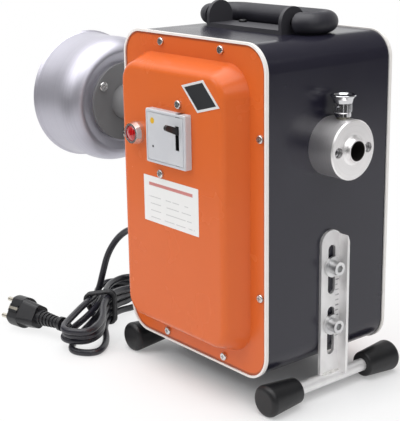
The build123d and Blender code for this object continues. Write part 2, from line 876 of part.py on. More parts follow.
# Rear bearing and its housing inside the right wall
housing_left = right_wall - case_sheet - housing_length
with BuildPart() as rear_bearing_housing:
    with BuildSketch(across(housing_left)):
        Circle(housing_radius)
        Circle(housing_bore, mode=Mode.SUBTRACT)
    extrude(amount=housing_length)
    with BuildSketch(across(housing_left)):
        Circle(bearing_radius + fit_gap)
    extrude(amount=housing_pocket, mode=Mode.SUBTRACT)
    with BuildSketch(across(right_wall - case_sheet)):
        with Locations((-coupling_screw_y, 0), (coupling_screw_y, 0)):
            Circle(cap_screw_radius + fit_gap)
    extrude(amount=housing_pocket - housing_length, mode=Mode.SUBTRACT)
save(rear_bearing_housing.part, "rear_bearing_housing")
bearing_left = housing_left + housing_pocket - bearing_width
ball_circle = (bearing_radius + spindle_radius) / 2
save(ring(bearing_left, bearing_width, bearing_radius, ball_circle + ball_radius + run_gap),
     "rear_bearing_outer")
save(ring(bearing_left, bearing_width, ball_circle - ball_radius - run_gap, spindle_radius + fit_gap),
     "rear_bearing_inner")
with BuildPart() as rear_bearing_balls:
    with Locations(across(bearing_left + bearing_width / 2)):
        with PolarLocations(ball_circle, ball_count):
            Sphere(ball_radius)
save(rear_bearing_balls.part, "rear_bearing_balls")

# Neck fixed to the left wall, with its bush and screws
neck_left = left_wall - neck_length
with BuildPart() as spindle_neck:
    with BuildSketch(across(neck_left)):
        Circle(neck_radius)
        Circle(neck_bore, mode=Mode.SUBTRACT)
    extrude(amount=neck_length)
    with BuildSketch(across(left_wall - neck_flange)):
        Circle(neck_flange_radius)
        Circle(neck_bore, mode=Mode.SUBTRACT)
        with PolarLocations(neck_screw_circle, neck_screw_count, start_angle=neck_screw_angle):
            Circle(screw_radius + screw_clearance, mode=Mode.SUBTRACT)
    extrude(amount=neck_flange)
save(spindle_neck.part, "spindle_neck")
neck_screw_places = on_circle(neck_screw_circle, neck_screw_count, neck_screw_angle)
neck_screw_plane = Plane(origin=(left_wall - neck_flange, case_y, spindle_z), x_dir=(0, -1, 0),
                         z_dir=(-1, 0, 0))
save(pan_screws(neck_screw_plane, neck_screw_places, screw_length + neck_flange), "neck_screws")
save(ring(neck_left + bush_inset, bush_length, neck_bore - fit_gap, spindle_radius + run_gap), "front_bush")

# Hollow spindle
spindle_right = right_wall - case_sheet - spindle_back_gap
save(ring(spindle_left, spindle_right - spindle_left, spindle_radius, spindle_bore), "spindle_tube")


def belt_pulley(belt_radius, bore, height):
    """Pulley with a groove for the belt, turned about its shaft along X."""
    left = case_x + pulley_place - pulley_width / 2
    groove_left = case_x + pulley_place - belt_width / 2 - belt_gap
    groove_right = case_x + pulley_place + belt_width / 2 + belt_gap
    outer = belt_radius + belt_thickness / 2 + pulley_rim
    floor = belt_radius - belt_thickness / 2 - belt_gap
    plane = Plane(origin=(0, case_y, height), x_dir=(1, 0, 0), z_dir=(0, -1, 0))
    return turned([(left, bore), (left, outer), (groove_left, outer), (groove_left, floor),
                   (groove_right, floor), (groove_right, outer), (left + pulley_width, outer),
                   (left + pulley_width, bore)], plane, Axis((0, case_y, height), (1, 0, 0)))


# Spindle pulley with a recessed web
with BuildPart() as spindle_pulley:
    add(belt_pulley(spindle_belt_radius, spindle_radius + fit_gap, spindle_z))
    for way in (-1, 1):
        with BuildSketch(across(case_x + pulley_place + way * pulley_width / 2)):
            Circle(pulley_pocket_radius)
            Circle(pulley_hub_radius, mode=Mode.SUBTRACT)
        extrude(amount=-way * pulley_web_inset, mode=Mode.SUBTRACT)
save(spindle_pulley.part, "spindle_pulley")
save(belt_pulley(motor_belt_radius, shaft_radius + fit_gap, motor_z), "motor_pulley")

# Drive belt round both pulleys
with BuildPart() as drive_belt:
    for half, kind in ((belt_thickness / 2, Mode.ADD), (-belt_thickness / 2, Mode.SUBTRACT)):
        with BuildSketch(across(case_x + pulley_place - belt_width / 2)):
            Circle(spindle_belt_radius + half)
            with Locations((0, -belt_span)):
                Circle(motor_belt_radius + half)
            make_hull()
        extrude(amount=belt_width, mode=kind)
save(drive_belt.part, "drive_belt")

# Motor with feet, its shaft, fan and bolts
motor_floor = case_bottom + case_sheet
with BuildPart() as motor_body:
    with BuildSketch(across(case_x - motor_left, 0, motor_z)):
        Circle(motor_radius)
    extrude(amount=motor_left + motor_right)
    chamfer(motor_body.faces().filter_by(Axis.X).edges(), motor_edge)
    with BuildSketch(level(motor_floor)):
        with Locations(*[(x, 0) for x in motor_foot_places]):
            Rectangle(motor_foot_length, 2 * motor_foot_reach)
    extrude(amount=motor_foot_thickness)
    with BuildSketch(level(motor_floor)):
        with Locations(*[(x, 0) for x in motor_foot_places]):
            Rectangle(motor_foot_length, motor_radius)
    extrude(amount=motor_height)
    with BuildSketch(across(case_x - motor_left, 0, motor_z)):
        Circle(shaft_radius + run_gap)
    extrude(amount=motor_left + motor_right, mode=Mode.SUBTRACT)
    with BuildSketch(level(motor_floor)):
        with Locations(*motor_bolt_places):
            Circle(motor_bolt_radius + screw_clearance)
    extrude(amount=motor_foot_thickness, mode=Mode.SUBTRACT)
save(motor_body.part, "motor_body")
with BuildPart() as motor_bolts:
    with BuildSketch(level(motor_floor + motor_foot_thickness)):
        with Locations(*motor_bolt_places):
            RegularPolygon(motor_bolt_head_radius, hexagon_count)
    extrude(amount=motor_bolt_head)
    with BuildSketch(level(motor_floor + motor_foot_thickness)):
        with Locations(*motor_bolt_places):
            Circle(motor_bolt_radius)
    extrude(amount=-motor_foot_thickness - case_sheet - motor_bolt_head)
    with BuildSketch(level(case_bottom)):
        with Locations(*motor_bolt_places):
            RegularPolygon(motor_bolt_head_radius, hexagon_count)
    extrude(amount=-motor_bolt_head)
save(motor_bolts.part, "motor_bolts")
fan_left = case_x - motor_left - fan_gap - fan_width
shaft_right = case_x + pulley_place + pulley_width / 2
with BuildPart() as motor_shaft:
    with BuildSketch(across(fan_left, 0, motor_z)):
        Circle(shaft_radius)
    extrude(amount=shaft_right - fan_left)
save(motor_shaft.part, "motor_shaft")
with BuildPart() as motor_fan:
    with BuildSketch(across(fan_left, 0, motor_z)):
        Circle(fan_hub_radius)
        with PolarLocations(fan_radius / 2, fan_blades):
            Rectangle(fan_radius, blade_thickness)
        Circle(shaft_radius + fit_gap, mode=Mode.SUBTRACT)
    extrude(amount=fan_width)
save(motor_fan.part, "motor_fan")

# Start capacitor in its clip on the left wall
capacitor_z = case_bottom + capacitor_height
clip_left = left_wall + case_sheet
save(ring(clip_left + clip_wall, capacitor_length, capacitor_radius, pin_radius, capacitor_y, capacitor_z),
     "capacitor")
with BuildPart() as capacitor_clip:
    with BuildSketch(across(clip_left, capacitor_y, capacitor_z)):
        Circle(clip_flange_radius)
    extrude(amount=clip_wall)
    with BuildSketch(across(clip_left + clip_wall, capacitor_y, capacitor_z)):
        Circle(capacitor_radius + clip_gap + clip_wall)
        Circle(capacitor_radius + clip_gap, mode=Mode.SUBTRACT)
    extrude(amount=clip_length)
save(capacitor_clip.part, "capacitor_clip")

# Bell hub with the rear disc that slides on the neck
bell_screw_places = on_circle(bell_screw_circle, bell_screw_count, bell_screw_angle)
disc_face = Plane(origin=(bell_right, case_y, spindle_z), x_dir=(0, -1, 0), z_dir=(1, 0, 0))
with BuildPart() as bell_hub:
    with BuildSketch(across(bell_right - disc_thickness)):
        Circle(disc_radius)
        Circle(neck_radius + run_gap, mode=Mode.SUBTRACT)
    extrude(amount=disc_thickness)
    with BuildSketch(across(bell_right)):
        Circle(hub_radius)
        Circle(neck_radius + run_gap, mode=Mode.SUBTRACT)
    extrude(amount=hub_length)
    with BuildSketch(across(bell_right - disc_thickness)):
        with Locations(*[(-y, -z) for y, z in bell_screw_places]):
            Circle(screw_radius + screw_clearance)
    extrude(amount=disc_thickness, mode=Mode.SUBTRACT)
save(bell_hub.part, "bell_hub")


def bell_outline(inset):
    """Outline of the bell's sheet from seat to rim, moved in by the inset."""
    seat_x = bell_right - disc_thickness - inset
    crest_x = bell_right - bell_crest_set - inset
    shoulder_x = bell_right - bell_crest_set - bell_shoulder_set
    waist_x = bell_left + bell_band
    Line((seat_x, bell_seat_radius), (seat_x, bell_recess_radius))
    Line((seat_x, bell_recess_radius), (crest_x, bell_crest_radius))
    EllipticalCenterArc((shoulder_x, bell_crest_radius), crest_x - shoulder_x,
                        bell_shoulder_radius - inset - bell_crest_radius, start_angle=0, arc_size=90)
    band_start = (bell_left + bell_rim_length, bell_radius - inset)
    Spline((shoulder_x, bell_shoulder_radius - inset), (waist_x, bell_waist_radius - inset), band_start,
           tangents=((-1, 0), (-1, bell_band_slope)))
    Line(band_start, (bell_left, bell_rim_radius - inset))
    return (seat_x, bell_seat_radius), (bell_left, bell_rim_radius - inset)


# Bell of spun sheet
with BuildPart() as bell:
    with BuildSketch(spindle_plane):
        with BuildLine():
            outer_seat, outer_rim = bell_outline(0.0)
            inner_seat, inner_rim = bell_outline(bell_sheet)
            Line(outer_seat, inner_seat)
            Line(outer_rim, inner_rim)
        make_face()
    revolve(axis=spindle_axis)
    with BuildSketch(across(clutch_right)):
        with Locations(*[(-y, -z) for y, z in bell_screw_places]):
            Circle(screw_radius + screw_clearance)
    extrude(amount=bell_sheet, mode=Mode.SUBTRACT)
save(bell.part, "bell")
bell_screw_length = disc_thickness + bell_sheet + ring_flange - screw_radius
save(pan_screws(disc_face, bell_screw_places, bell_screw_length, bell_screw_head_radius), "bell_screws")

# Clutch ring: its cone closes the jaws when the bell is pulled towards the case
cone_at_jaw = jaw_reach + jaw_cone_gap
ring_left = clutch_right - ring_length
clutch_outline = [(clutch_right, cone_at_jaw + cone_slope * (clutch_right - jaw_right)),
                  (clutch_right, ring_flange_radius), (clutch_right - ring_flange, ring_flange_radius),
                  (clutch_right - ring_flange, ring_radius), (ring_left, ring_radius),
                  (ring_left, cone_at_jaw + cone_slope * (ring_left - jaw_right))]
with BuildPart() as clutch_ring:
    add(turned(clutch_outline, spindle_plane, spindle_axis))
    with BuildSketch(across(clutch_right)):
        with Locations(*[(-y, -z) for y, z in bell_screw_places]):
            Circle(screw_radius + fit_gap)
    extrude(amount=-ring_flange, mode=Mode.SUBTRACT)
save(clutch_ring.part, "clutch_ring")

# Chuck body on the spindle's nose, slotted for three jaws
chuck_left = chuck_right - chuck_length
with BuildPart() as chuck_body:
    with BuildSketch(across(chuck_left)):
        Circle(chuck_radius)
        Circle(spindle_bore, mode=Mode.SUBTRACT)
    extrude(amount=chuck_length)
    with BuildSketch(across(spindle_left)):
        Circle(spindle_radius + fit_gap)
    extrude(amount=chuck_right - spindle_left, mode=Mode.SUBTRACT)
    with BuildSketch(across(jaw_right + jaw_play)):
        with PolarLocations(chuck_radius / 2, jaw_count, start_angle=jaw_angle):
            Rectangle(chuck_radius, jaw_width + 2 * jaw_play)
    extrude(amount=-jaw_length - 2 * jaw_play, mode=Mode.SUBTRACT)
save(chuck_body.part, "chuck_body")

# Jaws, each cut by the cone that closes it
for number in range(jaw_count):
    angle = jaw_angle + 360 * number / jaw_count
    with BuildPart() as chuck_jaw:
        with BuildSketch(across(jaw_right)):
            with PolarLocations((jaw_open + jaw_reach) / 2, 1, start_angle=angle):
                Rectangle(jaw_reach - jaw_open, jaw_width)
        extrude(amount=-jaw_length)
        add(turned([(jaw_right, 0), (jaw_right, jaw_reach),
                    (jaw_right - jaw_length, jaw_reach - cone_slope * jaw_length),
                    (jaw_right - jaw_length, 0)], spindle_plane, spindle_axis), mode=Mode.INTERSECT)
    save(chuck_jaw.part, f"chuck_jaw_{number + 1}")

# Return spring of the bell, on the neck between its flange and the hub
hub_right = bell_right + hub_length
coil_left = hub_right + return_spring_wire
coil_right = left_wall - neck_flange - return_spring_wire
bell_coil = spring_stations(Vector(coil_left, case_y, spindle_z), Vector(1, 0, 0), Vector(0, 1, 0),
                            return_spring_radius, coil_right - coil_left, return_spring_curls)
save(wound_tube("bell spring", bell_coil, return_spring_wire / 2), "bell_spring")

# Handle bracket: a plate on the case with two ears, each with a blind socket for the bail's end
with BuildPart() as handle_bracket:
    with BuildSketch(level(case_top, case_x, case_y + (handle_plate_back - handle_plate_front) / 2)):
        Rectangle(handle_plate_width, handle_plate_front + handle_plate_back)
    extrude(amount=handle_sheet)
    for ear_x, socket_x in ((case_x - handle_plate_width / 2, case_x - handle_plate_width / 2),
                            (case_x + handle_plate_width / 2 - handle_sheet,
                             case_x + handle_plate_width / 2 - socket_depth)):
        with BuildSketch(across(ear_x, 0, handle_pivot_z)):
            Circle(ear_radius)
            with Locations((0, (case_top - handle_pivot_z) / 2)):
                Rectangle(2 * ear_radius, handle_pivot_z - case_top)
            with Locations((0, case_top - handle_pivot_z - ear_radius)):
                Rectangle(4 * ear_radius, 2 * ear_radius, mode=Mode.SUBTRACT)
        extrude(amount=handle_sheet)
        with BuildSketch(across(socket_x, 0, handle_pivot_z)):
            Circle(rod_radius + run_gap)
        extrude(amount=socket_depth, mode=Mode.SUBTRACT)
    with BuildSketch(level(case_top)):
        with Locations(*handle_screw_places):
            Circle(screw_radius + screw_clearance)
    extrude(amount=handle_sheet, mode=Mode.SUBTRACT)
save(handle_bracket.part, "handle_bracket")
save(pan_screws(level(case_top + handle_sheet), handle_screw_places), "handle_screws")


def bail_tube(start, outer, inner):
    """Round bar or sleeve along the bail, which starts and ends at this half width."""
    with BuildPart() as bail:
        with BuildLine(level(handle_pivot_z)) as route:
            FilletPolyline((-start, 0), (-bail_half_width, 0), (-bail_half_width, bail_reach),
                           (bail_half_width, bail_reach), (bail_half_width, 0), (start, 0),
                           radius=[bail_inner_bend, bail_outer_bend, bail_outer_bend, bail_inner_bend])
        with BuildSketch(across(case_x - start, 0, handle_pivot_z)):
            Circle(outer)
            if inner:
                Circle(inner, mode=Mode.SUBTRACT)
        sweep(path=route.line)
    return bail.part


save(bail_tube(rod_end, rod_radius, 0.0), "handle_bail")
save(bail_tube(handle_plate_width / 2 + grip_start_gap, grip_radius, rod_radius), "handle_grip")


def foot_bracket(turn):
    """Slotted angle welded to the cross bar that carries two rubber tips."""
    inner = side + bracket_gap
    flat = Plane(origin=(case_x + turn * inner, case_y, case_bottom), x_dir=(0, turn, 0), z_dir=(turn, 0, 0))
    low = bar_radius - bar_drop - weld_depth
    with BuildPart() as bracket:
        with BuildSketch(flat):
            with Locations((bracket_shift, (bracket_top + low) / 2)):
                Rectangle(bracket_width, bracket_top - low)
        extrude(amount=bracket_sheet)
        with BuildSketch(flat):
            with Locations((bracket_shift + bracket_width / 2 - bracket_sheet / 2, (bracket_top + low) / 2)):
                Rectangle(bracket_sheet, bracket_top - low)
        extrude(amount=bracket_leg)
        with BuildSketch(flat):
            with Locations((bracket_shift, bracket_top - bracket_top_radius / 2)):
                Rectangle(bracket_width, bracket_top_radius)
            with Locations((bracket_shift, bracket_top - bracket_top_radius)):
                Circle(bracket_top_radius, mode=Mode.SUBTRACT)
        extrude(amount=bracket_leg, mode=Mode.SUBTRACT)
        with BuildSketch(flat):
            with Locations(*[(bracket_shift, z) for z in slot_heights]):
                SlotOverall(slot_length, slot_width, rotation=90)
        extrude(amount=bracket_sheet, mode=Mode.SUBTRACT)
        with BuildSketch(Plane(origin=(case_x + turn * bar_x, case_y - foot_reach + foot_wall, bar_height),
                               x_dir=(1, 0, 0), z_dir=(0, 1, 0))):
            Circle(bar_radius)
        extrude(amount=foot_reach + foot_back_reach - 2 * foot_wall)
    return bracket.part


def foot_tips(turn):
    """Two tapered rubber cups with round rims on the ends of the cross bar, flat where they stand."""
    with BuildPart() as tips:
        for way, reach in ((-1, foot_reach), (1, foot_back_reach)):
            end = Plane(origin=(case_x + turn * bar_x, case_y + way * reach, bar_height),
                        x_dir=(0, -way, 0), z_dir=(-way, 0, 0))
            with BuildSketch(end) as outline:
                with BuildLine():
                    Polyline((0, 0), (0, foot_outer_radius), (foot_length, foot_inner_radius),
                             (foot_length, bar_radius + fit_gap), (foot_wall, bar_radius + fit_gap),
                             (foot_wall, 0), close=True)
                make_face()
                fillet(outline.vertices().sort_by(Axis.Y)[-2], foot_lip)
                fillet(outline.vertices().sort_by(Axis.Y)[-1], foot_rim)
            revolve(axis=Axis(end.origin, end.x_dir))
        with BuildSketch(level(0)):
            Rectangle(4 * case_width, 4 * case_depth)
        extrude(amount=-2 * foot_flat, mode=Mode.SUBTRACT)
    return tips.part


def seat_plane(turn, reach):
    """Plane square to X at this reach from the case's middle, facing outwards."""
    return Plane(origin=(case_x + turn * reach, case_y, case_bottom), x_dir=(0, turn, 0), z_dir=(turn, 0, 0))


save(foot_bracket(-1), "left_foot_bracket")
save(foot_bracket(1), "right_foot_bracket")
save(foot_tips(-1), "left_foot_tips")
save(foot_tips(1), "right_foot_tips")

# Clamping bolts, nuts and washers of both brackets
with BuildPart() as bracket_bolts:
    for turn in (-1, 1):
        head_plane = seat_plane(turn, bolt_seat + washer_thickness)
        with BuildSketch(head_plane):
            with Locations(*bracket_bolt_places):
                Circle(bolt_head_radius)
        extrude(amount=bolt_head)
        with BuildSketch(head_plane):
            with Locations(*bracket_bolt_places):
                Circle(bolt_radius)
        extrude(amount=-washer_thickness - bracket_sheet - case_sheet - bolt_tail)
        with BuildSketch(head_plane.offset(bolt_head)):
            with Locations(*bracket_bolt_places):
                RegularPolygon(bolt_socket_radius, hexagon_count)
        extrude(amount=-bolt_socket_depth, mode=Mode.SUBTRACT)
        with BuildSketch(seat_plane(turn, side - case_sheet)):
            with Locations(*bracket_bolt_places):
                RegularPolygon(nut_radius, hexagon_count)
                Circle(bolt_radius + fit_gap, mode=Mode.SUBTRACT)
        extrude(amount=-nut_height)
save(bracket_bolts.part, "bracket_bolts")
with BuildPart() as bracket_washers:
    for turn in (-1, 1):
        with BuildSketch(seat_plane(turn, bolt_seat)):
            with Locations(*bracket_bolt_places):
                Circle(washer_radius)
                Circle(bolt_radius + screw_clearance, mode=Mode.SUBTRACT)
        extrude(amount=washer_thickness)
save(bracket_washers.part, "bracket_washers")

# Cord gland in the left wall
gland_z = case_bottom + gland_height
gland_plane = Plane(origin=(left_wall, case_y + gland_y, gland_z), x_dir=(-1, 0, 0), z_dir=(0, -1, 0))
gland_axis = Axis((left_wall, case_y + gland_y, gland_z), (1, 0, 0))
inside = -case_sheet
save(turned([(inside - gland_nut_height, 0), (inside - gland_nut_height, gland_nut_radius),
             (inside, gland_nut_radius), (inside, gland_shank_radius), (0, gland_shank_radius),
             (0, gland_flange_radius), (gland_flange, gland_flange_radius), (gland_length, gland_tip_radius),
             (gland_length, 0)], gland_plane, gland_axis), "cord_gland")

# Hank: loops drawn in at the waist, the last one tucked under the top loop
heading = Vector(cos(radians(hank_heading)), sin(radians(hank_heading)), 0)
aside = Vector(-heading.Y, heading.X, 0)
up = Vector(0, 0, 1)
hank_centre = Vector(case_x + hank_x, case_y + hank_y, cord_radius + hank_lift)
hank_shoulder = hank_tip - hank_end_radius
cord_width = 2 * cord_radius


def hank_place(along, out, layer, way_along, way_out, slope=0.0):
    """Point and direction at one corner of a loop."""
    place = hank_centre + heading * along + aside * out + up * (layer * hank_layer)
    way = heading * way_along + aside * way_out + up * slope
    return place, way.normalized()


def round_loop(layer):
    """Corners of one loop from the back tip round to the front tip."""
    return [hank_place(-hank_tip, 0, layer, 0, 1), hank_place(-hank_shoulder, hank_end_radius, layer, 1, 0),
            hank_place(0, hank_waist, layer, 1, 0), hank_place(hank_shoulder, hank_end_radius, layer, 1, 0),
            hank_place(hank_tip, 0, layer, 0, -1)]


def next_layer(low, high, waist, end):
    """Run back along the left side from one layer to another."""
    slope = (high - low) * hank_layer / hank_shoulder
    return [hank_place(hank_shoulder, -hank_end_radius, low, -1, 0),
            hank_place(0, -waist, (low + high) / 2, -1, 0, slope),
            hank_place(-hank_shoulder, -end, high, -1, 0)]


hank_turns = [hank_place(hank_start_along + cord_width, hank_start_out, 0, -1, 0),
              hank_place(hank_start_along, hank_start_out, 0, -1, 0)]
hank_turns += round_loop(0) + next_layer(0, 1, hank_waist, hank_end_radius)
hank_turns += round_loop(1) + next_layer(1, 3, hank_waist, hank_end_radius)
hank_turns += round_loop(3) + next_layer(3, 2, hank_outer_waist, hank_outer_end)
hank_turns += round_loop(2)
hank_turns += [hank_place(hank_shoulder, -hank_end_radius, 2, -1, 0)]
save(wound_tube("hank", hank_turns, cord_radius), "mains_hank")

# Lead from the gland to the hank
gland_tip = Vector(left_wall - gland_length, case_y + gland_y, gland_z)
outwards = Vector(-1, 0, 0)
middle = Vector(case_x, case_y, 0)
lead_turns = [(gland_tip, outwards), (gland_tip + outwards * lead_straight, outwards),
              (middle + Vector(*lead_bend), Vector(*lead_bend_way).normalized()),
              (middle + Vector(*lead_drop), Vector(*lead_drop_way).normalized()), hank_turns[0]]
save(wound_tube("lead", lead_turns, cord_radius), "mains_lead")

# Tail from the hank to the plug
plug_way = Vector(cos(radians(plug_heading)), sin(radians(plug_heading)), 0)
plug_end = Vector(case_x + plug_x, case_y + plug_y, plug_radius + plug_lift)
save(wound_tube("tail", [hank_turns[-1], (plug_end, plug_way)], cord_radius), "mains_tail")

# Plug body: ribbed relief, neck and round front
plug_side = up.cross(plug_way) * cos(radians(plug_roll)) + up * sin(radians(plug_roll))
plug_plane = Plane(origin=plug_end, x_dir=plug_side, z_dir=plug_way)
relief_plane = Plane(origin=plug_end, x_dir=plug_way, z_dir=plug_side)
neck_start = plug_relief_length
front_start = neck_start + plug_neck_length
front_end = front_start + plug_front_length
rib_pitch = (plug_relief_length - 2 * plug_collar) / plug_ribs
relief_outline = [(0, 0), (0, plug_collar_radius), (plug_collar, plug_collar_radius)]
for rib in range(plug_ribs):
    rib_start = plug_collar + rib * rib_pitch
    swell = (plug_relief_base_radius - plug_relief_tip_radius) * rib / plug_ribs
    relief_outline += [(rib_start, plug_relief_tip_radius + swell),
                       (rib_start + rib_pitch / 2, plug_relief_tip_radius + swell),
                       (rib_start + rib_pitch / 2, plug_relief_tip_radius + swell + plug_rib_depth),
                       (rib_start + rib_pitch, plug_relief_tip_radius + swell + plug_rib_depth)]
relief_outline += [(plug_relief_length - plug_collar, plug_relief_base_radius),
                   (plug_relief_length, plug_relief_base_radius), (plug_relief_length, 0)]
with BuildPart() as plug_body:
    add(turned(relief_outline, relief_plane, Axis(plug_end, plug_way)))
    with BuildSketch(plug_plane.offset(neck_start)):
        RectangleRounded(plug_neck_width, plug_neck_height, plug_neck_corner)
    with BuildSketch(plug_plane.offset(front_start)):
        RectangleRounded(2 * plug_flat, plug_shoulder, plug_neck_corner)
    loft()
    with BuildSketch(plug_plane.offset(front_start)):
        Circle(plug_radius)
        Rectangle(2 * plug_flat, 2 * plug_radius, mode=Mode.INTERSECT)
    extrude(amount=plug_front_length)
save(plug_body.part, "plug_body")

# Plug pins and side earth contacts
with BuildPart() as plug_contacts:
    with BuildSketch(plug_plane.offset(front_end)):
        with Locations((0, -plug_pin_spread), (0, plug_pin_spread)):
            Circle(plug_pin_radius)
    extrude(amount=plug_pin_length)
    fillet(plug_contacts.faces().sort_by(Axis(plug_end, plug_way))[-2:].edges(), plug_pin_tip)
    for way in (-1, 1):
        with BuildSketch(plug_plane.offset(front_end - earth_length)):
            with Locations((way * (plug_flat + earth_thickness / 2), 0)):
                Rectangle(earth_thickness, earth_width)
        extrude(amount=earth_length)
save(plug_contacts.part, "plug_contacts")
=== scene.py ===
"""Finishes, cord, plates and studio of the drain cleaning machine.

Metres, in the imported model's frame: Z up from the floor, front cover towards -Y, spindle along X.
"""
import json
import math

import bmesh
import bpy
import numpy as np
from mathutils import Matrix, Vector


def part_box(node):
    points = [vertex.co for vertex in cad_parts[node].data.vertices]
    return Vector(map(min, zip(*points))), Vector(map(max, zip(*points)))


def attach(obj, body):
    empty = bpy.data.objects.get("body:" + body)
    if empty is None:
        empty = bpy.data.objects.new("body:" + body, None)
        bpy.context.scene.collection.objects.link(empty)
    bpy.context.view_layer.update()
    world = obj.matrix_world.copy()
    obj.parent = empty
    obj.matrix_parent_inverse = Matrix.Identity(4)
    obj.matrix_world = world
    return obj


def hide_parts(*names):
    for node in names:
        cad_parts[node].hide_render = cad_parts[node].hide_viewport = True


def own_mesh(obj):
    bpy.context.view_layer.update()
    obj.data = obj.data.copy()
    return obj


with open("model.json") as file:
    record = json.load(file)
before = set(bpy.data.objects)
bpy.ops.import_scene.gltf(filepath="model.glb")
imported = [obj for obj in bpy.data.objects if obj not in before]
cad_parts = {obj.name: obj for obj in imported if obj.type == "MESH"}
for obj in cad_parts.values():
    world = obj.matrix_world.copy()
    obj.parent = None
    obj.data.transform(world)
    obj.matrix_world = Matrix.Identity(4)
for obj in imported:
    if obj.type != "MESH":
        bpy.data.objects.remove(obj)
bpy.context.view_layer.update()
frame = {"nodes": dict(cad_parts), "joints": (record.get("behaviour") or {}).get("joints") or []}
MM = 0.001


def middle(node):
    """Middle of a node's box."""
    low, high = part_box(node)
    return (Vector(low) + Vector(high)) / 2


# Places taken from the frame
case_low, case_high = (Vector(corner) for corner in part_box("case_shell"))
case_mid = (case_low + case_high) / 2
case_half = (case_high - case_low) / 2
panel_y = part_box("front_cover")[0][1]
switch_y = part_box("switch_plate")[0][1]
spindle_mid = middle("spindle_tube")
coupling_mid = middle("hose_coupling")

# Painted shade in the crease along the trim, and painted shade inside the cable bore
CASE_CORNER = 24.0 * MM
CREASE_START = 2.2 * MM
CREASE_END = 3.6 * MM
CREASE_SHADE = 0.75
SHADE_PATCH_LEAST = 0.6
CABLE_BORE = 8.8 * MM
BORE_EDGE = 0.3 * MM
BORE_SHADE = (0.17, 0.155, 0.15)

# Windows of a noise that bring out its patches
BLOOM = (0.35, 0.75)
SPANGLE = (0.35, 0.68)
LAY = (0.35, 0.70)
SHADE_PATCHES = (0.30, 0.60)
WEAR = (0.35, 0.60)

# Stamped marks of the feet, the switch plate's slot and the ribs of the lamp's lens
MARK_PITCH = 5.0 * MM
MARK_WIDTH = 1.2 * MM
MARK_HALF = 2.2 * MM
MARK_ASIDE = 9.0 * MM
MARKS_LOW = 55.0 * MM
MARKS_HIGH = 135.0 * MM
MARK_GREY = (0.42, 0.42, 0.43)
MARK_SINK = 3.0
SLOT_HALF = 3.1 * MM
SLOT_REACH = 30.0 * MM
SLOT_EDGE = 0.6 * MM
SLOT_BLACK = (0.012, 0.012, 0.013)
RIB_PITCH = 2.6 * MM
RIB_SHADE = (0.2, 0.9)

# Label, with its print as shares of its width and height and of full ink, badge and switch marks
LABEL_HALF = (40.4 * MM, 22.0 * MM)
LABEL_PLACE = (-3.0 * MM, 149.0 * MM)
LABEL_CORNER = 0.6 * MM
LABEL_SHEET = 0.25 * MM
HEADING_DOWN = 0.17
HEADING_HALF = (0.40, 0.035)
HEADING_INK = 0.85
RULES_TOP = 0.37
RULES_FOOT = 0.97
RULE_PITCH = 0.15
RULE_HALF = (0.43, 0.010)
RULE_INK = 0.55
RULE_BREAK = 0.46
BADGE_HALF = (26.6 * MM, 15.3 * MM)
BADGE_PLACE = (42.3 * MM, 254.1 * MM)
BADGE_TURN = math.radians(-15.0)
BADGE_SHEET = 0.5 * MM
BADGE_FIELD = 0.84
SWITCH_MARKS = (("switch_mark_yellow", (-18.6 * MM, 225.7 * MM), 2.8 * MM, (0.80, 0.47, 0.015)),
                ("switch_mark_dark", (-18.2 * MM, 202.3 * MM), 1.1 * MM, SLOT_BLACK))
SWITCH_MARK_SHEET = 0.2 * MM
SWITCH_MARK_SHADE = 0.8

# Weld beads of the feet, and how near points of a copied coil have to be to join
STRIP_OUT = 1.7 * MM
STRIP_ASIDE = 1.5 * MM
BAR_TOP = 20.3 * MM
WELD_OUT = 1.9 * MM
WELD_HALF = 12.0 * MM
WELD_RADIUS = 1.7 * MM
WELD_TIP = 0.02 * MM
WELD_DIP = 0.18
WELD_WAVER = 0.04
WELD_BLUNT = 4
WELD_SEED = 5
MERGE_REACH = 0.001 * MM

# Cord route, lengths in millimetres: the lead listed, the tied hank by a loop
CORD_RADIUS = 3.6
LEAD = ((-53.25, -19.81, 108.0), (-67.25, -19.8, 108.0), (-87.0, -19.8, 107.6), (-102.5, -20.0, 101.0),
        (-118.0, -22.0, 88.0), (-129.0, -26.0, 70.0), (-133.0, -30.0, 50.0), (-136.5, -34.5, 28.0),
        (-146.5, -41.0, 3.9))
HANK_MID = (-104.25, -49.81, 3.9)
HANK_HEADING = math.radians(-54.0)
HANK_LAYER = 8.0
HANK_TIP = 84.0
HANK_BEVEL = 9.4
HANK_END = 17.0
HANK_START = -32.0
HANK_RUN = 50.0
HANK_TIED = 20.0
HANK_WAIST = 6.0
HANK_OUTER_WAIST = 14.2
HANK_OUTER_END = 25.5
CLIMB_FIRST = 0.3
CLIMB_LAST = 0.7
TAIL_RUN = 54.9
# Layer of each turn, then the reach and the swing aside of its front and back end, which nothing ties
TURNS = ((0, 4.0, 8.0, -6.0, 5.0), (1, -5.0, -4.0, 6.0, -7.0), (3, 9.0, 2.0, -2.0, 9.0),
         (2, 0.0, 0.0, 3.0, -3.0))

# Tie and plug, lengths in millimetres
TIE_RADIUS = 2.1
TIE_SLACK = 0.3
TIE_LIFT = 2 * TIE_RADIUS + 2 * TIE_SLACK
TIE_TURNS = 2
TIE_PITCH = 2.05 * TIE_RADIUS
TIE_BLUNT = 60
TIE_TIP = 0.05
PLUG_HEADING = math.radians(192.0)
PLUG_ROLL = math.radians(33.0)
PLUG_FRONT = 70.5
PLUG_END = (-97.35, -106.81, 17.1)
EARTH_STRIP = 1.5

# Camera: the photograph's size, focal length and principal point in pixels, then its place and angles
PHOTO_WIDTH, PHOTO_HEIGHT = 400.0, 421.0
FOCAL = 1096.9
PRINCIPAL = (216.2, 208.4)
CAMERA_PLACE = (0.84355, -0.6739, 0.4442)
CAMERA_YAW = math.radians(50.36)
CAMERA_PITCH = math.radians(15.53)
CAMERA_ROLL = math.radians(0.71)

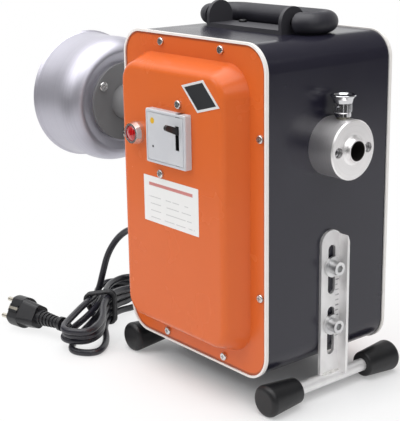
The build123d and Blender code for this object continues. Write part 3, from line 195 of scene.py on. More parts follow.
# Studio: share of light from all sides, lamps, grey cards, and the floor's fade to white outside the case
AMBIENT = 0.42
LAMP_AIM = (0.05, 0.0, 0.18)
LAMPS = (("top_lamp", (0.0, -0.15, 1.5), (1.7, 1.5), 20.5),
         ("left_lamp", (-0.7, -1.6, 1.3), (1.1, 1.0), 9.0),
         ("right_lamp", (1.7, -0.5, 1.1), (0.9, 1.1), 4.0))
CARDS = (("bell_card", (-0.70, -0.74, 0.36), (0.0, 0.0, 0.36), (1.5, 0.62), 0.27),
         ("panel_card", (-0.31, -0.66, 0.31), (0.35, 0.10, 0.31), (0.6, 0.62), 0.05),
         ("slope_card", (0.85, -0.19, 0.25), (0.12, -0.08, 0.25), (0.6, 0.5), 0.04),
         ("roof_card", (0.10, 0.95, 1.25), (0.05, 0.0, 0.33), (2.1, 0.9), 0.24),
         ("right_card", (0.86, 0.62, 0.45), (0.15, 0.03, 0.45), (1.3, 0.70), 0.12),
         ("front_card", (0.36, -0.80, 0.42), (0.12, 0.0, 0.42), (1.1, 0.76), 0.03))
FLOOR_REACH = 6.0
FADE_START = -0.03
FADE_KNEE = 0.06
FADE_END = 0.24
FADE_SHARE = 0.74


class Value:
    """A socket that changes over a surface; arithmetic on it adds Math nodes."""

    def __init__(self, nodes, socket):
        self.nodes = nodes
        self.socket = socket

    def math(self, operation, *values):
        """Result of a Math node in this value's tree."""
        return self.nodes.node("ShaderNodeMath", {"operation": operation}, *values)

    def most(self, other):
        """The larger of this value and another."""
        return self.math("MAXIMUM", self, other)

    def __add__(self, other):
        return self.math("ADD", self, other)

    def __radd__(self, other):
        return self.math("ADD", other, self)

    def __sub__(self, other):
        return self.math("SUBTRACT", self, other)

    def __rsub__(self, other):
        return self.math("SUBTRACT", other, self)

    def __mul__(self, other):
        return self.math("MULTIPLY", self, other)

    def __rmul__(self, other):
        return self.math("MULTIPLY", other, self)

    def __truediv__(self, other):
        return self.math("DIVIDE", self, other)

    def __pow__(self, other):
        return self.math("POWER", self, other)

    def __abs__(self):
        return self.math("ABSOLUTE", self)

    def __lt__(self, other):
        return self.math("LESS_THAN", self, other)

    def __gt__(self, other):
        return self.math("GREATER_THAN", self, other)

    def __mod__(self, other):
        return self.math("FLOORED_MODULO", self, other)


class Nodes:
    """A node tree, and the one way that nodes are added to it."""

    def __init__(self, tree):
        self.tree = tree

    def node(self, kind, settings, *values, output=0, **named):
        """Adds a node: its settings first, then values or links for its sockets in order or by name."""
        made = self.tree.nodes.new(kind)
        for key, value in settings.items():
            setattr(made, key, value)
        for key, value in [*enumerate(values), *named.items()]:
            socket = made.inputs[key]
            if isinstance(value, Value):
                self.tree.links.new(value.socket, socket)
            elif value is not None:
                socket.default_value = (*value, 1.0) if socket.type == "RGBA" and len(value) == 3 else value
        return Value(self, made.outputs[output])

    def ramp(self, value, low, high, first=0.0, last=1.0):
        """The value spread so that low becomes the first number and high the last."""
        return self.node("ShaderNodeMapRange", {"clamp": True}, value, low, high, first, last)


class Finish(Nodes):
    """A material: its Principled shader, and the nodes that vary it over the surface."""

    def __init__(self, name, color, roughness, metallic=0.0, **constants):
        self.material = bpy.data.materials.new(name)
        self.material.use_nodes = True
        super().__init__(self.material.node_tree)
        self.shader = self.tree.nodes["Principled BSDF"]
        self.color = color
        self.roughness = roughness
        self.set("Base Color", (*color, 1.0))
        self.set("Roughness", roughness)
        self.set("Metallic", metallic)
        for socket, value in constants.items():
            self.set(socket.replace("_", " ").title().replace("Ior", "IOR"), value)

    def set(self, socket, value):
        """Puts a constant on a socket of the shader, or links a value to it."""
        if isinstance(value, Value):
            self.tree.links.new(value.socket, self.shader.inputs[socket])
        else:
            self.shader.inputs[socket].default_value = value

    def place(self):
        """Position on the object."""
        return self.node("ShaderNodeTexCoord", {}, output="Object")

    def axes(self):
        """The position's three numbers."""
        split = self.node("ShaderNodeSeparateXYZ", {}, self.place())
        return [Value(self, socket) for socket in split.socket.node.outputs]

    def radius(self, centre):
        """Distance from an axis along X."""
        _, y, z = self.axes()
        return ((y - centre.y) ** 2 + (z - centre.z) ** 2) ** 0.5

    def noise(self, scale, detail=2.0, place=None, stretch=(1.0, 1.0, 1.0)):
        """Cloudy value from 0 to 1, with features of about 1 / (scale * stretch) metres along each axis."""
        spread = self.node("ShaderNodeVectorMath", {"operation": "MULTIPLY"}, place or self.place(), stretch)
        return self.node("ShaderNodeTexNoise", {}, Vector=spread, Scale=scale, Detail=detail)

    def grain(self, scale, detail, centre):
        """Lines turned about an axis along X: noise of the place along it and the radius from it."""
        turned = self.node("ShaderNodeCombineXYZ", {}, self.axes()[0], self.radius(centre), 0.0)
        return self.noise(scale, detail, turned)

    def mix(self, factor, first, second):
        """Colour between two colours: the node's sockets for other kinds of data are passed over."""
        passed = [None] * 5
        return self.node("ShaderNodeMix", {"data_type": "RGBA"}, factor, *passed, first, second, output=2)

    def tint(self, factor, second):
        """Base colour so far, going to a second colour."""
        self.color = self.mix(factor, self.color, second)
        self.set("Base Color", self.color)

    def gloss(self, *parts):
        """Roughness uneven about its middle: each part is a value from 0 to 1 and its swing."""
        rough = self.roughness - sum(swing for _, swing in parts) / 2
        for value, swing in parts:
            rough = value * swing + rough
        self.set("Roughness", rough)

    def bump(self, height, strength, distance):
        """Height of the surface in its own units, raised over a distance in metres."""
        made = self.node("ShaderNodeBump", {}, Strength=strength, Distance=distance, Height=height)
        self.set("Normal", made)


def painted(name, color, shade, roughness, coat, peel, depth, specular=0.5):
    """Sprayed paint: faint clouds of a second shade, uneven gloss and a fine orange-peel surface."""
    finish = Finish(name, color, roughness, coat_weight=coat, coat_roughness=0.12,
                    specular_ior_level=specular)
    finish.tint(finish.noise(9.0, detail=3.0), shade)
    finish.gloss((finish.noise(30.0), 0.10))
    finish.bump(finish.noise(peel), strength=0.35, distance=depth)
    return finish


def crease_shade(finish, crease_shade_color):
    """Painted shade, in patches, in the crease along the trim, by the distance inside the case's rounded
    outline.

    That distance is the corner's radius less the length of what passes the corner's centre, across and up.
    """
    x, _, z = finish.axes()
    across = (abs(x - case_mid.x) - (case_half.x - CASE_CORNER)).most(0.0)
    up = (abs(z - case_mid.z) - (case_half.z - CASE_CORNER)).most(0.0)
    inside = CASE_CORNER - (across ** 2 + up ** 2) ** 0.5
    crease = finish.ramp(inside, CREASE_START, CREASE_END, CREASE_SHADE, 0.0)
    patches = finish.ramp(finish.noise(60.0, detail=3.0), *SHADE_PATCHES, SHADE_PATCH_LEAST, 1.0)
    finish.tint(crease * patches, crease_shade_color)


def turned_metal(name, color, shade, centre, roughness, lines=2600.0, metallic=1.0):
    """Metal with fine turning lines about an axis along X, and painted shade inside its cable bore."""
    finish = Finish(name, color, roughness, metallic)
    lay = finish.grain(lines, detail=3.0, centre=centre)
    finish.tint(finish.ramp(lay, *LAY), shade)
    # Painted shade inside the cable bore
    finish.tint(finish.ramp(finish.radius(centre), CABLE_BORE, CABLE_BORE + BORE_EDGE, 1.0, 0.0), BORE_SHADE)
    finish.gloss((lay, 0.12), (finish.noise(35.0), 0.08))
    finish.bump(lay, strength=0.25, distance=0.06 * MM)
    return finish


def plated(name, color, shade, roughness, cloud=60.0, scratches=0.2):
    """Plated steel: cloudy spangle, and faint upright scratches."""
    finish = Finish(name, color, roughness, metallic=1.0)
    spangle = finish.noise(cloud, detail=4.0)
    hair = finish.noise(500.0, stretch=(1.0, 1.0, 0.06))
    finish.tint(finish.ramp(spangle, *SPANGLE), shade)
    finish.gloss((spangle, 0.20), (hair, 0.10))
    finish.bump(hair + finish.noise(900.0, detail=1.0), strength=scratches, distance=0.05 * MM)
    return finish


def plated_bright(name, color, shade, metallic):
    """Bright chrome plate with a faint haze."""
    finish = Finish(name, color, roughness=0.10, metallic=metallic)
    finish.tint(finish.noise(60.0), shade)
    finish.gloss((finish.noise(180.0, detail=3.0), 0.10))
    return finish


def scaled_plate(name, color, shade, roughness, bend_y):
    """Zinc-plated strip with a row of short stamped marks beside its bend."""
    finish = Finish(name, color, roughness, metallic=1.0)
    _, y, z = finish.axes()
    row = ((z % MARK_PITCH) < MARK_WIDTH) * (z > MARKS_LOW) * (z < MARKS_HIGH)
    mark = row * (abs(y - bend_y) < MARK_HALF)
    worn = mark * finish.ramp(finish.noise(130.0), *WEAR)
    spangle = finish.noise(70.0, detail=4.0)
    hair = finish.noise(420.0, stretch=(1.0, 1.0, 0.08))
    finish.tint(finish.ramp(spangle, *SPANGLE), shade)
    finish.tint(worn, MARK_GREY)
    finish.gloss((spangle, 0.18), (hair, 0.10))
    finish.bump(hair - worn * MARK_SINK, strength=0.3, distance=0.06 * MM)
    return finish


def moulded(name, color, shade, roughness, grain=900.0, depth=0.08 * MM):
    """Moulded plastic or rubber: fine matt grain and a faint bloom."""
    finish = Finish(name, color, roughness)
    finish.tint(finish.ramp(finish.noise(45.0, detail=3.0), *BLOOM), shade)
    finish.gloss((finish.noise(160.0), 0.14))
    finish.bump(finish.noise(grain), strength=0.4, distance=depth)
    return finish


def slotted_plate():
    """Grey moulded plate whose lever slot is lined in black."""
    finish = moulded("switch_grey", (0.56, 0.57, 0.60), (0.61, 0.62, 0.64), roughness=0.38)
    lever = middle("switch_lever")
    x, y, z = finish.axes()
    opening = (abs(x - lever.x) < SLOT_HALF) * (abs(z - lever.z) < SLOT_REACH)
    finish.tint(opening * (y > switch_y + SLOT_EDGE), SLOT_BLACK)
    return finish


def lens_red():
    """Clear red moulding with fine upright ribs inside."""
    finish = Finish("lens_red", (0.55, 0.008, 0.012), roughness=0.12, coat_weight=0.8, coat_roughness=0.05)
    ribs = abs((finish.axes()[0] % RIB_PITCH) / (RIB_PITCH / 2) - 1.0)
    finish.tint(finish.ramp(ribs, *RIB_SHADE), (0.30, 0.002, 0.004))
    finish.bump(ribs, strength=0.5, distance=0.2 * MM)
    return finish


def ruled_label(centre):
    """Bare printed plate: white, with a plain red heading bar and pale grey rules."""
    finish = Finish("label_print", (0.86, 0.86, 0.85), roughness=0.38, coat_weight=0.3, coat_roughness=0.2)
    x, _, z = finish.axes()
    across = abs((x - centre.x) / (2 * LABEL_HALF[0]))
    down = 0.5 - (z - centre.z) / (2 * LABEL_HALF[1])
    heading = (abs(down - HEADING_DOWN) < HEADING_HALF[1]) * (across < HEADING_HALF[0])
    row = abs((down - RULES_TOP) % RULE_PITCH - RULE_PITCH / 2) < RULE_HALF[1]
    rules = row * (down > RULES_TOP) * (down < RULES_FOOT) * (across < RULE_HALF[0])
    broken = finish.noise(120.0, detail=1.0, stretch=(1.0, 1.0, 0.2)) > RULE_BREAK
    finish.tint(finish.noise(40.0, detail=3.0), (0.80, 0.80, 0.79))
    finish.tint(rules * broken * RULE_INK, (0.35, 0.35, 0.36))
    finish.tint(heading * HEADING_INK, (0.55, 0.10, 0.08))
    finish.gloss((finish.noise(200.0), 0.10))
    return finish


def bare_badge(centre):
    """Lozenge plate left bare: dark enamel field inside a pale rim, even all round."""
    finish = Finish("badge_enamel", (0.72, 0.72, 0.72), roughness=0.3, coat_weight=0.4, coat_roughness=0.1)
    x, _, z = finish.axes()
    along = (x - centre.x) * math.cos(BADGE_TURN) + (z - centre.z) * math.sin(BADGE_TURN)
    aside = (z - centre.z) * math.cos(BADGE_TURN) - (x - centre.x) * math.sin(BADGE_TURN)
    field = (abs(along) / BADGE_HALF[0] + abs(aside) / BADGE_HALF[1]) < BADGE_FIELD
    enamel = finish.mix(finish.noise(70.0, detail=3.0), (0.020, 0.021, 0.024), (0.032, 0.034, 0.038))
    finish.tint(field, enamel)
    finish.gloss((finish.noise(120.0), 0.12))
    return finish


def plug_metal():
    """Nickel pins, and earth contacts that show as a strip between black cheeks."""
    finish = Finish("nickel_contacts", (0.74, 0.70, 0.62), roughness=0.33)
    x, y, z = finish.axes()
    end = Vector(PLUG_END) * MM
    way = Vector((math.cos(PLUG_HEADING), math.sin(PLUG_HEADING), 0.0))
    across = Vector((way.y * math.sin(PLUG_ROLL), -way.x * math.sin(PLUG_ROLL), math.cos(PLUG_ROLL)))
    along = (x - end.x) * way.x + (y - end.y) * way.y
    aside = (x - end.x) * across.x + (y - end.y) * across.y + (z - end.z) * across.z
    bare = finish.ramp((along > PLUG_FRONT * MM) + (abs(aside) < EARTH_STRIP * MM), 0.0, 1.0)
    finish.tint(finish.noise(60.0, detail=4.0), (0.62, 0.57, 0.48))
    finish.tint(1.0 - bare, (0.012, 0.012, 0.014))
    finish.set("Metallic", bare)
    finish.gloss((finish.noise(160.0), 0.14))
    return finish


def cord_sheath():
    """Soft black sheath with a dull bloom and a fine grain."""
    finish = Finish("cord_sheath", (0.017, 0.016, 0.025), roughness=0.30)
    finish.tint(finish.ramp(finish.noise(60.0, detail=3.0), *BLOOM), (0.028, 0.028, 0.034))
    finish.gloss((finish.noise(220.0), 0.16))
    finish.bump(finish.noise(1100.0), strength=0.25, distance=0.08 * MM)
    return finish


def dress(finish, *names):
    """Gives CAD nodes their finish."""
    for name in names:
        mesh = frame["nodes"][name].data
        mesh.materials.clear()
        mesh.materials.append(finish.material)


def dress_paint():
    """Painted nodes: covers, case, castings, bell disc and handle bracket."""
    orange = painted("orange_paint", (0.68, 0.130, 0.024), (0.71, 0.142, 0.028), roughness=0.26, coat=0.03,
                     peel=900.0, depth=0.04 * MM, specular=0.3)
    # Painted shade, in patches, in the crease where the orange covers meet the trim
    crease_shade(orange, (0.20, 0.050, 0.026))
    dress(orange, "front_cover", "back_cover")
    dress(painted("charcoal_paint", (0.0124, 0.0113, 0.0222), (0.0154, 0.0143, 0.0258), roughness=0.25,
                  coat=0.03, peel=1200.0, depth=0.04 * MM), "case_shell")
    dress(painted("cast_iron", (0.10, 0.10, 0.105), (0.14, 0.14, 0.145), roughness=0.60, coat=0.0, peel=500.0,
                  depth=0.3 * MM), "rear_bearing_housing", "motor_body", "spindle_pulley", "motor_pulley")
    dress(painted("disc_grey", (0.20, 0.198, 0.205), (0.225, 0.222, 0.224), roughness=0.42, coat=0.1,
                  peel=700.0, depth=0.1 * MM), "bell_hub")
    dress(painted("bracket_grey", (0.034, 0.033, 0.040), (0.044, 0.043, 0.050), roughness=0.46, coat=0.0,
                  peel=800.0, depth=0.12 * MM), "handle_bracket")


def dress_plate():
    """Plated nodes: fasteners, feet, lamp bezel, plunger, handle rod, springs and other small metal."""
    dress(plated("zinc_plate", (0.76, 0.76, 0.76), (0.62, 0.62, 0.63), roughness=0.38),
          "back_cover_screws", "neck_screws", "motor_bolts", "bracket_bolts", "bracket_washers")
    dress(plated("bright_screw", (0.78, 0.77, 0.76), (0.66, 0.65, 0.64), roughness=0.26, cloud=200.0),
          "front_cover_screws", "bell_screws")
    for node, side in (("left_foot_bracket", -1), ("right_foot_bracket", 1)):
        dress(scaled_plate(f"{node}_zinc", (0.97, 0.96, 0.96), (0.90, 0.89, 0.89), roughness=0.62,
                           bend_y=case_mid.y + MARK_ASIDE * side), node)
    dress(plated_bright("bezel_chrome", (0.80, 0.79, 0.78), (0.72, 0.71, 0.71), metallic=0.90), "lamp_bezel")
    dress(plated_bright("knob_chrome", (0.66, 0.66, 0.68), (0.58, 0.58, 0.60), metallic=1.0), "plunger_knob")
    dress(plated("black_steel", (0.05, 0.05, 0.052), (0.03, 0.03, 0.032), roughness=0.42),
          "handle_screws", "handle_bail")
    dress(plated("socket_steel", (0.42, 0.42, 0.43), (0.30, 0.30, 0.31), roughness=0.30), "coupling_screws")
    dress(plated("brass", (0.66, 0.52, 0.26), (0.55, 0.42, 0.20), roughness=0.30), "front_bush")
    dress(plated("dull_nickel", (0.40, 0.39, 0.33), (0.30, 0.29, 0.24), roughness=0.34), "plunger_sleeve")
    dress(plated("spring_steel", (0.45, 0.45, 0.46), (0.34, 0.34, 0.35), roughness=0.34),
          "plunger_spring", "bell_spring")
    dress(plated("capacitor_can", (0.70, 0.70, 0.72), (0.60, 0.60, 0.62), roughness=0.35), "capacitor")
    dress(plug_metal(), "plug_contacts")


def dress_turned():
    """Turned nodes: coupling, spindle and bell."""
    dress(turned_metal("coupling_steel", (0.97, 0.95, 0.95), (0.88, 0.86, 0.86), coupling_mid,
                       roughness=0.36, metallic=0.92), "hose_coupling")
    dress(turned_metal("turned_steel", (0.80, 0.78, 0.78), (0.70, 0.68, 0.68), coupling_mid, roughness=0.32),
          "spindle_tube", "spindle_neck", "chuck_body", "chuck_jaw_1", "chuck_jaw_2", "chuck_jaw_3",
          "clutch_ring", "plunger_pin", "rear_bearing_inner", "rear_bearing_outer", "rear_bearing_balls",
          "motor_shaft")
    dress(turned_metal("spun_aluminium", (0.585, 0.575, 0.64), (0.51, 0.50, 0.565), spindle_mid,
                       roughness=0.45, lines=1500.0, metallic=0.88), "bell")


def dress_moulding():
    """Plastic and rubber nodes: trim, switch, lamp lens, plug, belt, grip and foot tips."""
    dress(moulded("trim_white", (0.84, 0.81, 0.78), (0.88, 0.86, 0.83), roughness=0.42),
          "front_trim", "back_trim")
    dress(slotted_plate(), "switch_plate")
    dress(moulded("black_moulding", (0.011, 0.011, 0.013), (0.019, 0.019, 0.022), roughness=0.40),
          "switch_body", "capacitor_clip", "motor_fan", "switch_lever", "cord_gland", "plug_body")
    dress(lens_red(), "lamp_lens")
    dress(moulded("belt_rubber", (0.020, 0.020, 0.020), (0.035, 0.035, 0.035), roughness=0.65), "drive_belt")
    dress(moulded("grip_rubber", (0.015, 0.0145, 0.021), (0.022, 0.021, 0.029), roughness=0.50, grain=500.0,
                  depth=0.16 * MM), "handle_grip")
    dress(moulded("foot_rubber", (0.005, 0.005, 0.006), (0.009, 0.009, 0.011), roughness=0.44, grain=420.0,
                  depth=0.16 * MM), "left_foot_tips", "right_foot_tips")


def put(name, data):
    """New object in the scene."""
    made = bpy.data.objects.new(name, data)
    bpy.context.scene.collection.objects.link(made)
    return made


def mesh_piece(name, points, faces, body, finish):
    """A new mesh piece that rides on a body."""
    mesh = bpy.data.meshes.new(name)
    mesh.from_pydata(points.tolist(), [], faces)
    mesh.update()
    mesh.materials.append(finish.material)
    piece = put(name, mesh)
    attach(piece, body)
    return piece


def add_spring(node, joint, axis):
    """Copy of a CAD coil, its triangles joined, that rides on the case in place of the coil."""
    low, high = (Vector(corner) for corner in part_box(node))
    travel = next(entry["range_m"][1] for entry in frame["joints"] if entry["name"] == joint)
    mesh = frame["nodes"][node].data.copy()
    joined = bmesh.new()
    joined.from_mesh(mesh)
    bmesh.ops.remove_doubles(joined, verts=joined.verts, dist=MERGE_REACH)
    joined.to_mesh(mesh)
    joined.free()
    mesh.shade_smooth()
    coil = put(f"{node}_coil", mesh)
    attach(coil, "case")
    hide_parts(node)
    1 - travel / (high - low).dot(Vector(axis))
    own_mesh(coil)


def tube_faces(rows, columns):
    """Quads between neighbouring rows of a grid whose columns close into rings, then a cap on each end."""
    row, column = np.meshgrid(np.arange(rows - 1), np.arange(columns), indexing="ij")
    after = (column + 1) % columns
    quads = np.stack([row * columns + column, row * columns + after, (row + 1) * columns + after,
                      (row + 1) * columns + column], axis=-1)
    first, last = np.arange(columns)[::-1], np.arange(columns) + (rows - 1) * columns
    return [*quads.reshape(-1, 4).tolist(), first.tolist(), last.tolist()]


def slab(name, outline, centre, thickness, finish):
    """Thin plate that faces the front: an outline in x and z, carried through its thickness along y."""
    flat = np.column_stack([outline[:, 0], np.zeros(len(outline)), outline[:, 1]]) + np.array(centre)
    front = flat - np.array([0.0, thickness, 0.0])
    mesh_piece(name, np.vstack([flat, front]), tube_faces(2, len(outline)), "case", finish)


def rounded_outline(half, radius, steps=6):
    """Rectangle with round corners: four quarter circles at its corners."""
    angles = np.linspace(0.0, math.pi / 2, steps) + np.arange(4)[:, None] * math.pi / 2
    signs = np.array([[1, 1], [-1, 1], [-1, -1], [1, -1]])
    corners = signs * (np.array(half) - radius)
    arcs = radius * np.stack([np.cos(angles), np.sin(angles)], axis=-1)
    return (corners[:, None, :] + arcs).reshape(-1, 2)


def lozenge(half, turn):
    """Diamond: the four ends of its two axes, turned as a whole."""
    spin = np.array([[math.cos(turn), math.sin(turn)], [-math.sin(turn), math.cos(turn)]])
    return np.array([[1, 0], [0, 1], [-1, 0], [0, -1]]) * half @ spin


def front_place(place, y):
    """Point on the front: aside from the case's middle and up from its bottom, at a depth."""
    return Vector((case_mid.x + place[0], y, case_low.z + place[1]))


def add_plates():
    """Bare label, bare lozenge badge and the two marks on the switch plate."""
    label_mid = front_place(LABEL_PLACE, panel_y)
    slab("label_plate", rounded_outline(LABEL_HALF, LABEL_CORNER), label_mid, LABEL_SHEET,
         ruled_label(label_mid))
    badge_mid = front_place(BADGE_PLACE, panel_y)
    slab("badge_plate", lozenge(BADGE_HALF, BADGE_TURN), badge_mid, BADGE_SHEET,
         bare_badge(badge_mid))
    for name, place, radius, color in SWITCH_MARKS:
        shade = tuple(SWITCH_MARK_SHADE * part for part in color)
        slab(name, rounded_outline((radius, radius), radius), front_place(place, switch_y),
             SWITCH_MARK_SHEET, moulded(f"{name}_print", color, shade, roughness=0.35))


def weld_bead(name, start, end, seed, body, finish):
    """Lumpy bead of weld: rings round a straight path, as a row of overlapping drops.

    The radius goes to almost nothing at both ends, swells once a drop, and wavers a little from ring to ring.
    """
    rings, sides, drops = 49, 16, 7
    along = np.linspace(0.0, 1.0, rings)
    waver = np.random.default_rng(seed).normal(0.0, WELD_WAVER, rings)
    taper = np.sqrt(np.clip(1.0 - (2.0 * along - 1.0) ** WELD_BLUNT, 0.0, 1.0))
    lumps = 1.0 - WELD_DIP + WELD_DIP * np.abs(np.sin(drops * np.pi * along))
    size = np.maximum(WELD_RADIUS * taper * lumps * (1.0 + waver), WELD_TIP)
    turn = np.linspace(0.0, 2 * np.pi, sides, endpoint=False)
    ring = np.column_stack([np.cos(turn), np.zeros(sides), np.sin(turn)])
    path = np.array(start) + np.outer(along, np.array(end) - np.array(start))
    points = path[:, None, :] + size[:, None, None] * ring
    piece = mesh_piece(name, points.reshape(-1, 3), tube_faces(rings, sides), body, finish)
    piece.data.shade_smooth()


def add_welds():
    """Weld beads where each foot's strip stands on its bar, one on each face of the strip."""
    finish = plated("weld_bead", (0.95, 0.94, 0.92), (0.78, 0.77, 0.75), roughness=0.50, cloud=300.0,
                    scratches=0.5)
    for body, side in (("left_foot", -1), ("right_foot", 1)):
        strip_x = case_mid.x + side * (case_half.x + STRIP_OUT)
        strip_y = case_mid.y + side * STRIP_ASIDE
        bar_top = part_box(f"{body}_tips")[0][2] + BAR_TOP
        for face in (-1, 1):
            x = strip_x + face * WELD_OUT
            name = f"{body}_weld_{'outer' if face == side else 'inner'}"
            weld_bead(name, (x, strip_y - WELD_HALF, bar_top), (x, strip_y + WELD_HALF, bar_top),
                      WELD_SEED + face + 2 * side, body, finish)


def hank_place(run, out, height):
    """Point of the hank: along its length, aside from it and above its lowest layer."""
    along = np.array([math.cos(HANK_HEADING), math.sin(HANK_HEADING), 0.0])
    aside = np.array([-along[1], along[0], 0.0])
    return np.array(HANK_MID) + along * run + aside * out + np.array([0.0, 0.0, height])


def hank_end(tip, first, last, swing, height):
    """Round end of a loop, from one side to the other."""
    side = tip - math.copysign(HANK_BEVEL, tip)
    return [hank_place(side, first + swing, height), hank_place(tip, first / 2 + swing, height),
            hank_place(tip, last / 2 + swing, height), hank_place(side, last + swing, height)]


def hank_points():
    """Control points of the hank: loops drawn in at the waist, each on a layer of its own.

    A loop goes along the right side from back to front and comes back along the left side, where it changes
    layer. The tie lifts the waist, and the ends of the loops fan out. The last loop leaves on the left.
    """
    route = []
    back_out = HANK_START
    for turn, (layer, front, front_swing, back, back_swing) in enumerate(TURNS):
        level = HANK_LAYER * layer
        tied = level + TIE_LIFT
        route += hank_end(-HANK_TIP - back, back_out, HANK_END, back_swing, level)
        route += [hank_place(-HANK_RUN, HANK_END + back_swing / 2, level),
                  hank_place(-HANK_TIED, HANK_WAIST, tied), hank_place(HANK_TIED, HANK_WAIST, tied),
                  hank_place(HANK_RUN, HANK_END + front_swing / 2, level)]
        route += hank_end(HANK_TIP + front, HANK_END, -HANK_END, front_swing, level)
        if turn == len(TURNS) - 1:
            return route + [hank_place(TAIL_RUN, -HANK_END, level)]
        next_layer, next_swing = TURNS[turn + 1][0], TURNS[turn + 1][4]
        outer = turn == len(TURNS) - 2
        waist = HANK_OUTER_WAIST if outer else HANK_WAIST
        back_out = -HANK_OUTER_END if outer else -HANK_END
        climb = HANK_LAYER * (next_layer - layer)
        route += [hank_place(HANK_RUN, -HANK_END + front_swing / 2, level),
                  hank_place(HANK_TIED, -waist, tied + CLIMB_FIRST * climb),
                  hank_place(-HANK_TIED, -waist, tied + CLIMB_LAST * climb),
                  hank_place(-HANK_RUN, back_out + next_swing / 2, level + climb)]


def add_cord():
    """Mains cord as one smooth spline from the gland to the plug."""
    points = np.array([*LEAD, *hank_points(), PLUG_END])
    curve = bpy.data.curves.new("mains_cord", "CURVE")
    curve.dimensions = "3D"
    curve.bevel_depth = CORD_RADIUS * MM
    curve.bevel_resolution = 6
    curve.resolution_u = 12
    curve.use_fill_caps = True
    spline = curve.splines.new("NURBS")
    spline.points.add(len(points) - 1)
    spline.points.foreach_set("co", np.column_stack([points * MM, np.ones(len(points))]).ravel())
    spline.order_u = 3
    spline.use_endpoint_u = True
    curve.materials.append(cord_sheath().material)
    cord = put("mains_cord", curve)
    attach(cord, "case")
    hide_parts("mains_lead", "mains_hank", "mains_tail")


def waist_places():
    """Middles of the runs where the tie holds them, aside and up: right-hand runs, then left-hand ones."""
    levels = np.array([layer for layer, *_ in TURNS]) * HANK_LAYER
    right = np.column_stack([np.full(len(levels), HANK_WAIST), levels])
    left = np.column_stack([np.full(len(levels) - 1, -HANK_WAIST), (levels[:-1] + levels[1:]) / 2])
    left[-1, 0] = -HANK_OUTER_WAIST
    return np.vstack([right, left]) + np.array([0.0, HANK_MID[2] + TIE_LIFT])


def add_tie():
    """Rubber tie wound round the hank's waist: a round section carried along a tight loop.

    In each direction the loop lies one cord radius and its own radius outside the furthest run, and the path
    steps aside by one section over each turn. The section is even, and rounds off at the two ends.
    """
    steps, sides = 240, 10
    angle = np.linspace(0.0, 2 * np.pi * TIE_TURNS, steps) - np.pi / 2
    way = np.stack([np.cos(angle), np.sin(angle)], axis=-1)
    places = waist_places()
    furthest = places[np.argmax(way @ places.T, axis=1)]
    loop = furthest + way * (CORD_RADIUS + TIE_RADIUS + TIE_SLACK)
    loop[:, 1] = np.maximum(loop[:, 1], TIE_RADIUS + TIE_SLACK)
    run = np.linspace(-0.5, 0.5, steps) * TIE_TURNS * TIE_PITCH
    origin = hank_place(0.0, 0.0, 0.0)
    axis = hank_place(1.0, 0.0, 0.0) - origin
    side = hank_place(0.0, 1.0, 0.0) - origin
    up = np.array([0.0, 0.0, 1.0])
    path = origin * (1.0 - up) + np.outer(run, axis) + np.outer(loop[:, 0], side) + np.outer(loop[:, 1], up)
    outward = np.outer(way[:, 0], side) + np.outer(way[:, 1], up)
    turn = np.linspace(0.0, 2 * np.pi, sides, endpoint=False)[None, :, None]
    taper = np.sqrt(np.clip(1 - np.abs(np.linspace(-1, 1, steps)) ** TIE_BLUNT, 0.0, 1.0))
    size = TIE_RADIUS * np.maximum(taper, TIE_TIP)[:, None, None]
    points = path[:, None, :] + size * (np.cos(turn) * outward[:, None, :] + np.sin(turn) * axis)
    finish = moulded("tie_rubber", (0.022, 0.022, 0.025), (0.036, 0.036, 0.040), roughness=0.5)
    tie = mesh_piece("cord_tie", points.reshape(-1, 3) * MM, tube_faces(steps, sides), "case",
                     finish)
    tie.data.shade_smooth()


def add_camera():
    """Camera at the photograph's place, with its off-centre framing as lens shift."""
    level = Vector((math.cos(CAMERA_YAW), math.sin(CAMERA_YAW), 0.0))
    ahead = Vector((-math.sin(CAMERA_YAW), math.cos(CAMERA_YAW), 0.0))
    forward = ahead * math.cos(CAMERA_PITCH) - Vector((0.0, 0.0, math.sin(CAMERA_PITCH)))
    below = forward.cross(level)
    right = level * math.cos(CAMERA_ROLL) + below * math.sin(CAMERA_ROLL)
    down = below * math.cos(CAMERA_ROLL) - level * math.sin(CAMERA_ROLL)
    camera = bpy.data.cameras.new("camera")
    camera.sensor_width = 36.0
    camera.lens = FOCAL / PHOTO_HEIGHT * camera.sensor_width
    camera.shift_x = (PHOTO_WIDTH / 2 - PRINCIPAL[0]) / PHOTO_HEIGHT
    camera.shift_y = (PRINCIPAL[1] - PHOTO_HEIGHT / 2) / PHOTO_HEIGHT
    camera.clip_start = 0.01
    viewer = put("camera", camera)
    turn = Matrix((right, -down, -forward)).transposed().to_4x4()
    viewer.matrix_world = Matrix.Translation(CAMERA_PLACE) @ turn
    bpy.context.scene.camera = viewer


def aim_at(made, place, aim, axis):
    """Puts an object at a place, with one of its axes towards a point."""
    made.location = place
    made.rotation_euler = (Vector(aim) - Vector(place)).to_track_quat(axis, "Y").to_euler()


def add_lamp(name, place, size, power):
    """Rectangular soft lamp that faces the machine."""
    light = bpy.data.lights.new(name, "AREA")
    light.shape = "RECTANGLE"
    light.size, light.size_y = size
    light.energy = power
    aim_at(put(name, light), place, LAMP_AIM, "-Z")


def flat_sheet(name, width, height, finish):
    """Staged rectangle round the origin, facing up."""
    x, y = width / 2, height / 2
    mesh = bpy.data.meshes.new(name)
    mesh.from_pydata([(-x, -y, 0), (x, -y, 0), (x, y, 0), (-x, y, 0)], [], [(0, 1, 2, 3)])
    mesh.materials.append(finish.material)
    sheet = put(name, mesh)
    return sheet


def add_card(name, place, aim, size, shade):
    """Card of one shade that faces a point, seen in reflections only."""
    card = flat_sheet(name, *size, Finish(f"{name}_cloth", (shade, shade, shade), roughness=0.9))
    aim_at(card, place, aim, "Z")
    card.visible_camera = False
    card.visible_shadow = False
    card.visible_diffuse = False


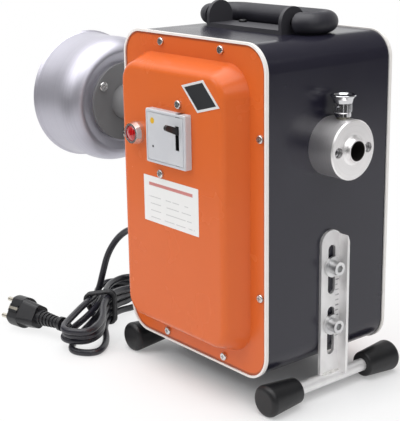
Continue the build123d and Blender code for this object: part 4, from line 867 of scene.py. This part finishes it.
def shown_rays(nodes):
    """1 for rays from the camera or off gloss and glass, which see white; 0 for the light's rays."""
    camera, glossy, glass = (nodes.node("ShaderNodeLightPath", {}, output=f"Is {kind} Ray")
                             for kind in ("Camera", "Glossy", "Transmission"))
    return nodes.ramp(camera + glossy + glass, 0.0, 1.0)


def add_floor():
    """White floor: it takes the object's shadow near by, and far off it is seen as plain white."""
    finish = Finish("floor_white", (0.94, 0.94, 0.945), roughness=0.7)
    x, y, _ = finish.axes()
    outside = (abs(x - case_mid.x) - case_half.x).most(abs(y - case_mid.y) - case_half.y)
    near = finish.ramp(outside, FADE_START, FADE_KNEE, 0.0, FADE_SHARE)
    far = finish.ramp(outside, FADE_KNEE, FADE_END, 0.0, 1.0 - FADE_SHARE)
    white = finish.node("ShaderNodeEmission", {}, Color=(1.0, 1.0, 1.0), Strength=1.0)
    lit = Value(finish, finish.shader.outputs[0])
    seen = finish.node("ShaderNodeMixShader", {}, (near + far) * shown_rays(finish), lit, white)
    finish.tree.links.new(seen.socket, finish.tree.nodes["Material Output"].inputs["Surface"])
    flat_sheet("floor", 2 * FLOOR_REACH, 2 * FLOOR_REACH, finish)


def add_world():
    """White surround, softer for the light that it throws on the object."""
    world = bpy.data.worlds.new("studio")
    world.use_nodes = True
    bpy.context.scene.world = world
    nodes = Nodes(world.node_tree)
    strength = nodes.ramp(shown_rays(nodes), 0.0, 1.0, AMBIENT, 1.0)
    background = world.node_tree.nodes["Background"]
    background.inputs["Color"].default_value = (1.0, 1.0, 1.0, 1.0)
    world.node_tree.links.new(strength.socket, background.inputs["Strength"])


def add_studio():
    """Soft lamps above and in front, grey cards that the gloss mirrors, floor and surround."""
    for lamp in LAMPS:
        add_lamp(*lamp)
    for card in CARDS:
        add_card(*card)
    add_floor()
    add_world()
    bpy.context.scene.view_settings.view_transform = "Standard"


dress_paint()
dress_plate()
dress_turned()
dress_moulding()
add_spring("bell_spring", "bell_pull", (1, 0, 0))
add_spring("plunger_spring", "plunger_pull", (0, 0, 1))
add_plates()
add_welds()
add_cord()
add_tie()
add_camera()
add_studio()
